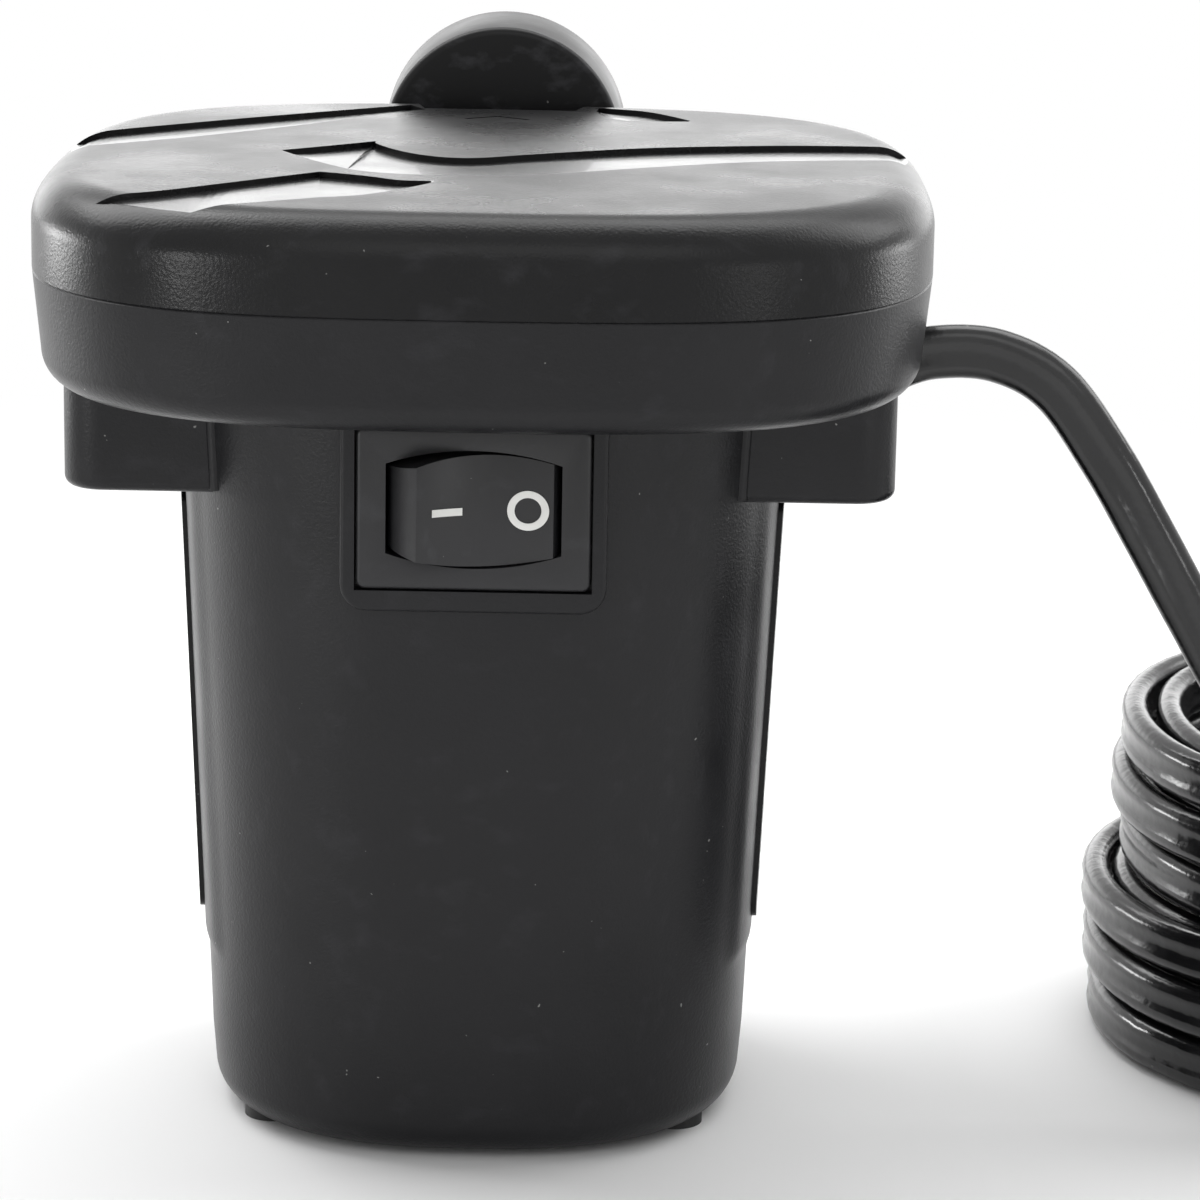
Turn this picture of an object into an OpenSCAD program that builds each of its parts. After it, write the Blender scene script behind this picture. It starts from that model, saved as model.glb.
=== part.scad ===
/* [Body] */
// Half width of the body at its top
body_half = 29; // [28.5:0.1:29.4]
// How much narrower the body is at its base, on each side
body_draft = 2.9; // [2:0.1:3.2]
// Height of the body above its feet
body_h = 73; // [72:0.5:80]
// Wall of the body
body_wall = 2; // [1.6:0.1:2.2]
// Radius of the body's bottom edge
base_edge_r = 3.5; // [2:0.5:5]
// Height of the rubber feet below the body
foot_h = 0.5; // [0.4:0.1:1.2]
// Radius of a rubber foot
foot_r = 2.8; // [2.4:0.1:3.2]

/* [Head] */
// Half width and half depth of the head
head_half = 42.5; // [42:0.1:44]
// Height of the head base, from the body to the seam
base_h = 10.5; // [10:0.1:13]
// Height of the top cover above the seam
cover_h = 9.4; // [8.6:0.1:12]
// Wall of the head's two shells
head_wall = 2; // [1.6:0.1:2.2]
// Radius of the cover's top edge
cover_edge_r = 4.5; // [3.5:0.1:5]
// Depth of the grooves in the cover
groove_depth = 0.5; // [0.3:0.1:0.8]

/* [Ears] */
// Distance of an ear's outer face from the middle
ear_reach = 39.2; // [38.8:0.1:40]
// Half length of an ear, front to back
ear_half = 18; // [17.5:0.1:20]
// Height of an ear
ear_h = 10.5; // [9:0.1:12.5]
// Radius of the fixing screws
screw_r = 1.5; // [1.2:0.1:1.6]

/* [Outlet] */
// Radius of the outlet collar at the head
collar_r = 12.6; // [12:0.1:13]
// How far the collar reaches beyond the head
collar_len = 14; // [12:0.5:18]
// Radius of the outlet bore
outlet_bore_r = 9.5; // [9:0.1:10]
// Height of the outlet's middle above the seam
outlet_rise = 4; // [3.5:0.1:4.5]
// Half width of the air duct into the collar
duct_half = 9.8; // [9:0.1:10]

/* [Motor and impeller] */
// Radius of the motor can
motor_r = 13.8; // [13:0.1:14.2]
// Length of the motor can
motor_len = 44; // [40:0.5:46]
// How far the motor stands behind the body's middle
motor_back = 6; // [5.8:0.1:6.5]
// Radius of the motor shaft
shaft_r = 1.6; // [1.2:0.1:2]
// Radius of the impeller
impeller_r = 24; // [22:0.5:24]
// Number of impeller blades
blade_count = 9; // [7:1:11]

/* [Switch] */
// Width of the switch bezel
bezel_w = 21.6; // [21.4:0.1:22.4]
// Height of the switch bezel
bezel_h = 15.2; // [15:0.1:15.8]
// Full rocking angle of the switch
rocker_travel = 25; // [18:1:25]

/* [Grilles] */
// Half width of a side grille
grille_half = 6.5; // [6:0.1:7.5]
// Height of a side grille
grille_h = 42.7; // [38:0.1:43]
// How far a grille stands proud of the body
grille_proud = 0.8; // [0.3:0.1:1]
// Distance between louvres
louvre_pitch = 3.4; // [3:0.1:5]

/* [Cord and plug] */
// Width of the flat cord
cord_w = 5.2; // [4.8:0.1:5.4]
// Thickness of the flat cord
cord_t = 2.8; // [2.4:0.1:3]
// Mean radius of the coiled cord
coil_r = 31; // [30:0.5:32]
// Layers in the coil
coil_layers = 6; // [4:1:7]
// Radius of the plug's handle
plug_r = 11.5; // [11:0.1:12]
// Radius of the plug's nose
nose_r = 10.2; // [10:0.1:10.4]

/* [Fits] */
// Radial running clearance
running = 0.04; // [0.03:0.01:0.08]
// Clearance between pieces that are fitted together
clearance = 0.1; // [0.05:0.01:0.15]

/* [Hidden] */

$fn = 48;
SEG = 48;              // sides of a shell's outline
HEAD_ROUND = 3.1;      // superellipse exponent of the head
BODY_ROUND = 2.5;      // superellipse exponent of the body
EPS = 0.01;

black = "#2c2c2e";
dark = "#1d1d1f";
steel = "#b8babd";
copper = "#b87333";
brass = "#c9a54a";

// Heights
body_top = foot_h + body_h;
seam_z = body_top + base_h;
cover_top = seam_z + cover_h;
floor_z = body_top + head_wall;
ceiling_z = cover_top - head_wall - 0.4;

// The head and body are set forward so that the whole stands centred, collar included
head_y = -collar_len / 2;
motor_y = head_y + motor_back;
head_draft = 0.75;     // how far the head base narrows towards its bottom edge
head_corner = 3;       // radius of that edge

function squircle(half, n) = [for (i = [0:SEG - 1])
    let (t = 360 * i / SEG, c = cos(t), s = sin(t))
    half * pow(pow(abs(c), n) + pow(abs(s), n), -1 / n) * [c, s]];
function ring(half, n, z) = [for (p = squircle(half, n)) [p[0], p[1], z]];
function body_half_at(z) = body_half - body_draft * (body_top - z) / body_h;

// A closed skin over a stack of outlines
module loft(rings) {
    count = len(rings);
    sides = len(rings[0]);
    polyhedron([for (r = rings) for (p = r) p], concat(
        [[for (i = [0:sides - 1]) i]],
        [[for (i = [sides - 1:-1:0]) (count - 1) * sides + i]],
        [for (k = [0:count - 2]) for (i = [0:sides - 1]) let (j = (i + 1) % sides)
            [k * sides + i, (k + 1) * sides + i, (k + 1) * sides + j, k * sides + j]]));
}

module tube(outer, inner, h) {
    difference() {
        cylinder(r = outer, h = h);
        translate([0, 0, -1]) cylinder(r = inner, h = h + 2);
    }
}

// A block with four round upright corners, centred on its base
module rounded_block(w, d, h, r) {
    translate([-w / 2, -d / 2 + r, 0]) cube([w, d - 2 * r, h]);
    translate([-w / 2 + r, -d / 2, 0]) cube([w - 2 * r, d, h]);
    for (x = [-1, 1]) for (y = [-1, 1])
        translate([x * (w / 2 - r), y * (d / 2 - r), 0]) cylinder(r = r, h = h);
}

// A flat or round cord swept along a route, its broad side turned towards lean
function unit(v) = v / norm(v);
function heading(path, i) = unit(path[min(i + 1, len(path) - 1)] - path[max(i - 1, 0)]);
function cord_ring(path, i, w, t, sides, lean) =
    let (f = heading(path, i), side = unit(cross(lean, f)), up = cross(f, side))
    [for (k = [0:sides - 1]) let (a = 360 * (k + 0.5) / sides)
        path[i] + side * cos(a) * t / 2 / cos(180 / sides) + up * sin(a) * w / 2 / cos(180 / sides)];
module swept(path, w, t, sides, lean) {
    loft([for (i = [0:len(path) - 1]) cord_ring(path, i, w, t, sides, lean)]);
}
// Points between the route's own points, along a smooth curve
function curve_point(p0, p1, p2, p3, u) = 0.5 * (2 * p1 + (p2 - p0) * u
    + (2 * p0 - 5 * p1 + 4 * p2 - p3) * u * u + (3 * p1 - p0 - 3 * p2 + p3) * u * u * u);
function smooth_route(route, steps) = concat([for (i = [0:len(route) - 2]) for (k = [0:steps - 1])
    curve_point(route[max(i - 1, 0)], route[i], route[i + 1], route[min(i + 2, len(route) - 1)], k / steps)],
    [route[len(route) - 1]]);

// ---- Body ----
grille_top = body_top - 12.2;
grille_bottom = grille_top - grille_h;
pad_half = 13.5;       // raised pad round a grille
pad_proud = 0.35;
pad_below = 2.5;       // its end below the grille
foot_x = 19.6;
foot_y = 12.6;
land_half = 12.25;     // raised flat land round the switch
land_y = head_y - body_half + 0.1;
land_bottom = 18.9;    // below the body's top
switch_z = body_top - 9.2;
cradle_gap = 1.4;      // room for the rubber cushion
cradle_wall = 1.5;
cradle_top = body_top - motor_len + 7;
cushion_h = 5;
ear_corner_r = 4;
ear_screw_x = ear_reach - ear_corner_r;
ear_screw_y = ear_half - ear_corner_r;
screw_head_r = screw_r + 1;
ear_counterbore = 5.5;
ear_root = 15;         // an ear starts inside the body's wall
ear_edge_r = 1;

function body_outer() = concat(
    [for (a = [0:22.5:90]) ring(body_half_at(foot_h) - base_edge_r * (1 - sin(a)), BODY_ROUND,
        foot_h + base_edge_r * (1 - cos(a)))],
    [ring(body_half, BODY_ROUND, body_top)]);
function body_skin(grow, low, high) = [
    ring(body_half_at(low) + grow, BODY_ROUND, low), ring(body_half_at(high) + grow, BODY_ROUND, high)];

module at_ear_screws() {
    for (x = [-1, 1]) for (y = [-1, 1]) translate([x * ear_screw_x, head_y + y * ear_screw_y, 0]) children();
}
function rounded_ring(hx, hy, r, z) = [for (q = [0:3]) for (a = [90 * q:30:90 * q + 90])
    [(q == 0 || q == 3 ? hx - r : r - hx) + r * cos(a), (q < 2 ? hy - r : r - hy) + r * sin(a), z]];
module ear() {
    half = (ear_reach - ear_root) / 2;
    translate([ear_root + half, 0, 0]) loft(concat(
        [for (a = [0:30:90]) let (inset = ear_edge_r * (1 - sin(a)))
            rounded_ring(half - inset, ear_half - inset, ear_corner_r - inset,
                body_top - ear_h + ear_edge_r * (1 - cos(a)))],
        [rounded_ring(half, ear_half, ear_corner_r, body_top)]));
}
module switch_land() {
    translate([0, land_y - head_y + 4, body_top - land_bottom / 2]) rotate([90, 0, 0])
        translate([0, 0, -4]) rounded_block(2 * land_half, land_bottom, 8, 2.5);
    translate([-land_half, land_y - head_y, body_top - 6]) cube([2 * land_half, 8, 6]);
}
// A block for a grille, its panel or its opening, on the +X side
module grille_block(grow) {
    translate([15, 0, (grille_top + grille_bottom) / 2]) rotate([90, 0, 90])
        rounded_block(2 * (grille_half + grow), grille_h + 2 * grow, 25, 2 + grow);
}
// The slightly raised pad that a grille sits in
module grille_pad() intersection() {
    loft(body_skin(pad_proud, grille_bottom - 6, body_top));
    translate([15, 0, (body_top - 2 + grille_bottom - pad_below) / 2]) rotate([90, 0, 90])
        rounded_block(2 * pad_half, body_top - 2 - grille_bottom + pad_below, 25, 3);
}
module motor_cradle() {
    inner = motor_r + cradle_gap;
    translate([0, motor_y, foot_h + body_wall - EPS]) difference() {
        tube(inner + cradle_wall, inner, cradle_top - foot_h - body_wall);
        for (a = [0:90:270]) rotate([0, 0, a + 45])
            translate([inner - 3, -5, 3]) cube([8, 10, cradle_top - foot_h - body_wall - 3 - cushion_h - 2]);
    }
}
module body_housing() color(black) {
    difference() {
        union() {
            translate([0, head_y, 0]) difference() {
                union() {
                    loft(body_outer());
                    ear();
                    mirror([1, 0, 0]) ear();
                    grille_pad();
                    mirror([1, 0, 0]) grille_pad();
                    switch_land();
                }
                loft(body_skin(-body_wall, foot_h + body_wall, body_top + 1));
            }
            motor_cradle();
        }
        translate([0, head_y, 0]) {
            grille_block(clearance);
            mirror([1, 0, 0]) grille_block(clearance);
            for (x = [-1, 1]) for (y = [-1, 1])
                translate([x * foot_x, y * foot_y, 0]) cylinder(r = foot_r + running, h = foot_h + 1);
        }
        at_ear_screws() {
            translate([0, 0, body_top - ear_h - 1]) cylinder(r = screw_head_r + 0.3, h = ear_counterbore + 1);
            translate([0, 0, body_top - ear_h]) cylinder(r = screw_r + clearance, h = ear_h + 1);
        }
        cord_channel(cord_low, body_top + 1);
        translate([grommet_x, cord_y - grommet_half - clearance, body_top - grommet_h - clearance])
            cube([grommet_len, 2 * (grommet_half + clearance), grommet_h + 1]);
        translate([-bezel_w / 2 - clearance, land_y - 1, switch_z - bezel_h / 2 - clearance])
            cube([bezel_w + 2 * clearance, 1 + bezel_t, bezel_h + 2 * clearance]);
        translate([-switch_w / 2 - clearance, land_y, switch_z - switch_h / 2 - clearance])
            cube([switch_w + 2 * clearance, 8, switch_h + 2 * clearance]);
    }
}

// ---- Side grilles ----
lip_t = 1;
lip_grow = 1.5;
module side_grille() {
    slots = floor((grille_h - 8) / louvre_pitch);
    translate([0, head_y, 0]) difference() {
        union() {
            intersection() {
                loft(body_skin(grille_proud, grille_bottom - 3, grille_top + 3));
                grille_block(0);
            }
            intersection() {
                loft(body_skin(-body_wall, grille_bottom - 3, grille_top + 3));
                grille_block(lip_grow);
            }
        }
        loft(body_skin(-body_wall - lip_t, grille_bottom - 4, grille_top + 4));
        for (k = [0:slots - 1]) translate([15, -grille_half + 1.5, grille_bottom + 5 + k * louvre_pitch])
            cube([25, 2 * grille_half - 3, 1.6]);
    }
}
module side_grille_right() color(dark) side_grille();
module side_grille_left() color(dark) mirror([1, 0, 0]) side_grille();

module rubber_feet() color("#101012")
    for (x = [-1, 1]) for (y = [-1, 1])
        translate([x * foot_x, head_y + y * foot_y, 0]) cylinder(r = foot_r, h = foot_h + 1);

// ---- Head base, with the scroll round the impeller ----
scroll_wall = 1.5;
scroll_from = 115;
scroll_to = 425;
scroll_r = impeller_r + 2;
scroll_growth = 7;
motor_boss_r = 5;
motor_screw_spread = 8.5;
air_slot_in = motor_r + 0.8;
air_slot_out = motor_r + 5.2;
skirt_h = 2;
boss_r = 2.6;
scroll_clear_x = 32.8; // outside the scroll's wall, beside the cord
function scroll_at(a, grow) =
    let (r = scroll_r + grow + scroll_growth * (a - scroll_from) / (scroll_to - scroll_from))
    [r * cos(a), r * sin(a)];
function base_shell(inset, low) = let (r = head_corner - inset, half = head_half - inset - head_draft)
    concat([for (a = [0:18:90]) ring(half - r * (1 - sin(a)), HEAD_ROUND, low + r * (1 - cos(a)))],
        [ring(head_half - inset, HEAD_ROUND, seam_z)]);

module scroll() {
    turn = [scroll_from:10:scroll_to];
    wall_h = ceiling_z - floor_z - 0.2;
    duct_wall_x = duct_half + clearance + scroll_wall / 2;
    translate([0, motor_y, floor_z - EPS]) linear_extrude(wall_h)
        polygon(concat([for (a = turn) scroll_at(a, scroll_wall)],
            [for (k = [0:31]) let (a = scroll_to - 10 * k) scroll_at(a, 0)]));
    for (x = [-1, 1]) translate([x * duct_wall_x - scroll_wall / 2, head_y + 30, floor_z - EPS])
        cube([scroll_wall, head_half - 35, wall_h]);
    translate([duct_half + clearance, head_y + 35.6, floor_z - EPS]) cube([5, scroll_wall, wall_h]);
}
module air_slots(low, h) {
    translate([0, motor_y, low]) for (a = [0:90:270]) rotate([0, 0, a + 15])
        rotate_extrude(angle = 60) translate([air_slot_in, 0]) square([air_slot_out - air_slot_in, h]);
}
module at_motor_screws() {
    for (x = [-1, 1]) translate([x * motor_screw_spread, motor_y, 0]) children();
}
module head_base() color(black) {
    difference() {
        union() {
            translate([0, head_y, 0]) {
                difference() {
                    loft(base_shell(0, body_top));
                    intersection() {
                        loft(base_shell(head_wall, floor_z));
                        translate([-60, -60, floor_z]) cube([120, 120, 60]);
                    }
                    translate([0, 0, seam_z - EPS]) cylinder(r = 70, h = 5);
                }
                translate([0, 0, body_top - skirt_h]) linear_extrude(skirt_h + EPS) difference() {
                    polygon(squircle(body_half_at(body_top - skirt_h) - body_wall - 0.2, BODY_ROUND));
                    polygon(squircle(body_half_at(body_top - skirt_h) - body_wall - 1.4, BODY_ROUND));
                }
            }
            scroll();
            at_ear_screws() translate([0, 0, floor_z - EPS]) cylinder(r = boss_r, h = seam_z - floor_z + EPS);
        }
        translate([0, motor_y, body_top - 1]) cylinder(r = motor_boss_r + clearance, h = 6);
        air_slots(body_top - 1, head_wall + 2);
        at_motor_screws() translate([0, 0, body_top - 1]) cylinder(r = motor_screw_r + clearance, h = 6);
        at_ear_screws() translate([0, 0, body_top - 1]) cylinder(r = screw_r + clearance, h = base_h + 2);
        // The cord's groove in the floor and its mouth, and a notch in the skirt for its wires
        cord_channel(body_top - 1, cord_run_z + cord_w / 2 + 0.15);
        intersection() {
            cord_channel(body_top - 1, cord_z + cord_w / 2 + 0.4);
            translate([scroll_clear_x, -60, 0]) cube([60, 120, 200]);
        }
        translate([cord_inner_x - 8, cord_y - 3, body_top - skirt_h - 1]) cube([9, 6, skirt_h + 1]);
        // Mouth of the duct
        translate([-duct_half - clearance, head_y + 32, duct_low - clearance])
            cube([2 * (duct_half + clearance), 20, 30]);
    }
}

// ---- Top cover ----
tongue_h = 1.2;
recess_depth = 0.8;
cover_crown = 0.4;
function cover_outer() = concat([ring(head_half, HEAD_ROUND, seam_z)],
    [for (a = [0:18:90]) ring(head_half - cover_edge_r * (1 - cos(a)), HEAD_ROUND,
        cover_top - cover_crown - cover_edge_r * (1 - sin(a)))],
    [ring(head_half / 2, HEAD_ROUND, cover_top)]);
function cover_inner() = let (r = cover_edge_r - head_wall, half = head_half - head_wall) concat(
    [ring(half, HEAD_ROUND, seam_z - 1)],
    [for (a = [0:30:90]) ring(half - r * (1 - cos(a)), HEAD_ROUND, ceiling_z - r * (1 - sin(a)))]);

module cover_tongue(low, h, grow) translate([0, 0, low]) linear_extrude(h) difference() {
    polygon(squircle(head_half - head_wall + grow, HEAD_ROUND));
    polygon(squircle(head_half - head_wall - 1.1, HEAD_ROUND));
}
module groove(from, to) {
    run = to - from;
    translate([from[0], from[1], cover_top - groove_depth - cover_crown / 2])
        rotate([0, 0, atan2(run[1], run[0])]) cube([norm(run), 0.8, 5]);
}
module top_cover() color(black) {
    translate([0, head_y, 0]) difference() {
        union() {
            difference() {
                loft(cover_outer());
                loft(cover_inner());
            }
            cover_tongue(seam_z - tongue_h, tongue_h + 1, -2 * clearance);
            cover_tongue(seam_z, 1, 0.5);
            for (x = [-1, 1]) for (y = [-1, 1]) translate([x * ear_screw_x, y * ear_screw_y, seam_z])
                cylinder(r = boss_r, h = ceiling_z - seam_z + EPS);
        }
        for (x = [-1, 1]) for (y = [-1, 1]) {
            translate([x * ear_screw_x, y * ear_screw_y, seam_z - 2]) {
                cylinder(r = screw_r, h = screw_grip + 2);
                // The base's bosses stand inside the tongue
                cylinder(r = boss_r + 2 * clearance, h = 2);
            }
        }
        // Mouth of the duct, and the shallow recess over it
        translate([-duct_half - clearance, 32, seam_z - 3])
            cube([2 * (duct_half + clearance), 20, duct_high + clearance - seam_z + 3]);
        translate([0, 0, cover_top - recess_depth - cover_crown]) linear_extrude(5)
            polygon([[-duct_half + 2, 34], [duct_half - 2, 34], [duct_half + 1, 50], [-duct_half - 1, 50]]);
        // Round pad and lines of the relief
        translate([0, 8, cover_top - groove_depth - cover_crown / 2]) rotate_extrude(angle = 130, start = 180)
            translate([13.5, 0]) square([0.8, 5]);
        groove([-36, 6], [-9, 33]);
        groove([8, -3], [38, 4]);
        groove([-30, -36], [-9, -20]);
        groove([12, 36], [26, 31]);
    }
}

// ---- Outlet collar ----
outlet_z = seam_z + outlet_rise;
duct_low = floor_z + 1.6;
duct_high = ceiling_z - 0.2;
duct_wall = 1.3;
collar_front = head_y + head_half + clearance;
collar_back = head_y + head_half + collar_len;
collar_flare = 0.4;
plate_t = 2;
collar_edge = 0.8;
stop_ledge = 0.8;      // step at the bore's inner end that a nozzle stops on
duct_start = head_half - 8.5;
module outlet_collar() color(dark) {
    length = collar_back - collar_front;
    difference() {
        union() {
            translate([0, collar_front, outlet_z]) rotate([-90, 0, 0]) rotate_extrude() polygon([
                [0, 0], [collar_r - collar_edge, 0], [collar_r, collar_edge],
                [collar_r + collar_flare, length - collar_edge],
                [collar_r + collar_flare - collar_edge, length],
                [outlet_bore_r, length], [outlet_bore_r, plate_t], [0, plate_t]]);
            translate([-duct_half, head_y + duct_start, duct_low])
                cube([2 * duct_half, collar_front - head_y - duct_start + 1, duct_high - duct_low]);
        }
        intersection() {
            translate([-duct_half + duct_wall, head_y + duct_start - 1, duct_low + duct_wall])
                cube([2 * (duct_half - duct_wall), collar_len, duct_high - duct_low - 2 * duct_wall]);
            translate([0, collar_back, outlet_z]) rotate([90, 0, 0])
                cylinder(r = outlet_bore_r - stop_ledge, h = 4 * collar_len);
        }
    }
}

// ---- Screws ----
screw_grip = 5.5;
screw_seat = body_top - ear_h + ear_counterbore;
module housing_screws() color(steel) at_ear_screws() {
    translate([0, 0, screw_seat]) cylinder(r = screw_r, h = seam_z + screw_grip - 0.5 - screw_seat);
    difference() {
        translate([0, 0, screw_seat - 2]) cylinder(r = screw_head_r, h = 2);
        for (a = [0, 90]) rotate([0, 0, a]) translate([-1.6, -0.3, screw_seat - 3]) cube([3.2, 0.6, 2]);
    }
}

// ---- Motor ----
can_t = 1;
cap_h = 2.5;
bush_r = 3.6;
motor_screw_r = 1.2;
can_bottom = body_top - motor_len;
boss_top = floor_z + 0.4;
module motor_can() color(steel) translate([0, motor_y, 0]) difference() {
    union() {
        translate([0, 0, can_bottom]) cylinder(r = motor_r, h = motor_len);
        translate([0, 0, body_top - 1]) cylinder(r = motor_boss_r, h = boss_top - body_top + 1);
    }
    translate([0, 0, can_bottom - 1]) cylinder(r = motor_r - can_t, h = motor_len + 1 - can_t);
    translate([0, 0, body_top - 5]) cylinder(r = bush_r, h = 20);
    for (x = [-1, 1]) translate([x * motor_screw_spread, 0, body_top - 3]) cylinder(r = motor_screw_r, h = 5);
}
module motor_bush(low, h) translate([0, motor_y, low]) tube(bush_r, shaft_r + running, h);
module motor_bush_top() color(brass) motor_bush(body_top - can_t, boss_top - body_top + can_t);
module motor_bush_bottom() color(brass) motor_bush(can_bottom - cap_h - 1, cap_h + 1);
module motor_end_cap() color(dark) translate([0, motor_y, 0]) difference() {
    union() {
        translate([0, 0, can_bottom - cap_h]) cylinder(r = motor_r, h = cap_h);
        translate([0, 0, can_bottom - EPS]) tube(motor_r - can_t - 0.05, motor_r - can_t - 1.2, 3);
        translate([0, 0, can_bottom - cap_h - 1]) cylinder(r = bush_r + 1.2, h = 2);
    }
    translate([0, 0, can_bottom - cap_h - 2]) cylinder(r = bush_r, h = 20);
    for (x = [-1, 1]) translate([x * terminal_x - 0.4, -2.4, can_bottom - 4]) cube([0.8, 4.8, 6]);
}
magnet_t = 1.8;
end_turn_h = 3.5;
comm_low = can_bottom + 2;
comm_h = 7;
core_low = comm_low + comm_h + end_turn_h + 1.5;
core_h = body_top - can_t - end_turn_h - 5.5 - core_low;
core_r = motor_r - can_t - magnet_t - 0.5;
module motor_magnets() color("#3a3d42") translate([0, motor_y, core_low - 1])
    for (a = [0, 180]) rotate([0, 0, a - 60]) rotate_extrude(angle = 120)
        translate([motor_r - can_t - magnet_t, 0]) square([magnet_t, core_h + 2]);
module armature_core() color(steel) translate([0, motor_y, core_low]) difference() {
    cylinder(r = core_r, h = core_h);
    translate([0, 0, -1]) cylinder(r = shaft_r, h = core_h + 2);
    for (k = [0:4]) rotate([0, 0, 72 * k]) {
        translate([core_r - 2, -0.7, -1]) cube([4, 1.4, core_h + 2]);
        translate([core_r * 0.62, 0, -1]) cylinder(r = core_r * 0.2, h = core_h + 2);
    }
}
turn_r = core_r * 0.86;
module armature_windings() color(copper) translate([0, motor_y, 0])
    for (low = [core_low - end_turn_h, core_low + core_h]) translate([0, 0, low]) difference() {
        cylinder(r = turn_r, h = end_turn_h);
        translate([0, 0, -1]) cylinder(r = shaft_r + 1.2, h = end_turn_h + 2);
        for (k = [0:4]) rotate([0, 0, 72 * k])
            translate([turn_r, 0, -1]) cylinder(r = 1.2, h = end_turn_h + 2);
    }
comm_r = 3.2;
module commutator() color(copper) translate([0, motor_y, comm_low]) difference() {
    cylinder(r = comm_r, h = comm_h);
    translate([0, 0, -1]) cylinder(r = shaft_r, h = comm_h + 2);
    for (k = [0:4]) rotate([0, 0, 72 * k + 36])
        translate([comm_r - 0.6, -0.2, -1]) cube([2, 0.4, comm_h + 2]);
}
brush_w = 2.4;
brush_len = 3;
terminal_x = 9;
module motor_brushes() color("#242424") translate([0, motor_y, comm_low + 2]) difference() {
    for (a = [0, 180]) rotate([0, 0, a])
        translate([comm_r - 0.4, -brush_w / 2, 0]) cube([brush_len + 0.4, brush_w, 3.6]);
    translate([0, 0, -1]) cylinder(r = comm_r + running, h = 6);
}
module brush_springs() color(copper) translate([0, motor_y, 0]) for (a = [0, 180]) rotate([0, 0, a]) {
    translate([comm_r + brush_len, -2, can_bottom + 1.2]) cube([0.4, 4, comm_low + 6 - can_bottom - 1.2]);
    translate([comm_r + brush_len, -2, can_bottom + 0.8])
        cube([terminal_x - comm_r - brush_len - 0.4, 4, 0.4 + EPS]);
}
module motor_terminals() color(brass) translate([0, motor_y, 0]) for (x = [-1, 1])
    translate([x * terminal_x - 0.4, -2.4, can_bottom - cap_h - 6]) cube([0.8, 4.8, cap_h + 8]);
impeller_low = floor_z + 2;
impeller_top = ceiling_z - 3;
shaft_top = impeller_top + 1;
module motor_shaft() color(steel) translate([0, motor_y, can_bottom - cap_h - 0.6])
    cylinder(r = shaft_r, h = shaft_top - can_bottom + cap_h + 0.6);
module motor_screws() color(steel) at_motor_screws() {
    translate([0, 0, body_top - 2.5]) cylinder(r = motor_screw_r, h = head_wall + 2.5);
    difference() {
        translate([0, 0, floor_z]) cylinder(r = motor_screw_r + 1.1, h = 1.2);
        translate([-1.4, -0.25, floor_z + 0.6]) cube([2.8, 0.5, 2]);
    }
}
module motor_cushion() color("#151517") translate([0, motor_y, cradle_top - cushion_h])
    tube(motor_r + cradle_gap, motor_r + running, cushion_h);
module noise_capacitor() color("#b5651d") translate([0, motor_y, can_bottom - cap_h - 5]) {
    rotate([90, 0, 0]) translate([0, 0, -1]) cylinder(r = 3, h = 2);
    for (x = [-1, 1]) translate([x > 0 ? 2.8 : 0.4 - terminal_x, -0.25, -0.25])
        cube([terminal_x - 3.2, 0.5, 0.5]);
}

// ---- Impeller ----
plate_h = 1.4;
hub_r = 4;
blade_t = 1.2;
blade_in = 10;
module impeller() color("#d9d9d6") translate([0, motor_y, 0]) difference() {
    union() {
        translate([0, 0, impeller_top - plate_h]) cylinder(r = impeller_r, h = plate_h);
        translate([0, 0, impeller_low]) cylinder(r = hub_r, h = impeller_top - impeller_low);
        intersection() {
            translate([0, 0, impeller_low]) tube(impeller_r, blade_in, impeller_top - impeller_low - EPS);
            for (k = [0:blade_count - 1]) rotate([0, 0, 360 * k / blade_count])
                translate([blade_in / 2 + impeller_r / 2, -9, impeller_low]) rotate([0, 0, 40])
                    rotate_extrude(angle = 120) translate([13, 0])
                        square([blade_t, impeller_top - impeller_low - plate_h + EPS]);
        }
    }
    translate([0, 0, impeller_low - 1]) cylinder(r = shaft_r, h = impeller_top - impeller_low + 2);
}
module impeller_washer() color(steel) translate([0, motor_y, impeller_top]) tube(3.2, shaft_r, 0.6);

// ---- Switch ----
bezel_t = 1.6;
switch_w = 19;
switch_h = 13;
switch_depth = 11.4;
rocker_r = 8.1;
rocker_h = 10.4;
pivot_y = land_y + 3.5;
barrel_r = 25;
cavity_half = 8.4;
blade_pivot_y = pivot_y + 6.1;
blade_tilt = 6;
rest_tilt = rocker_travel / 2;

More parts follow.
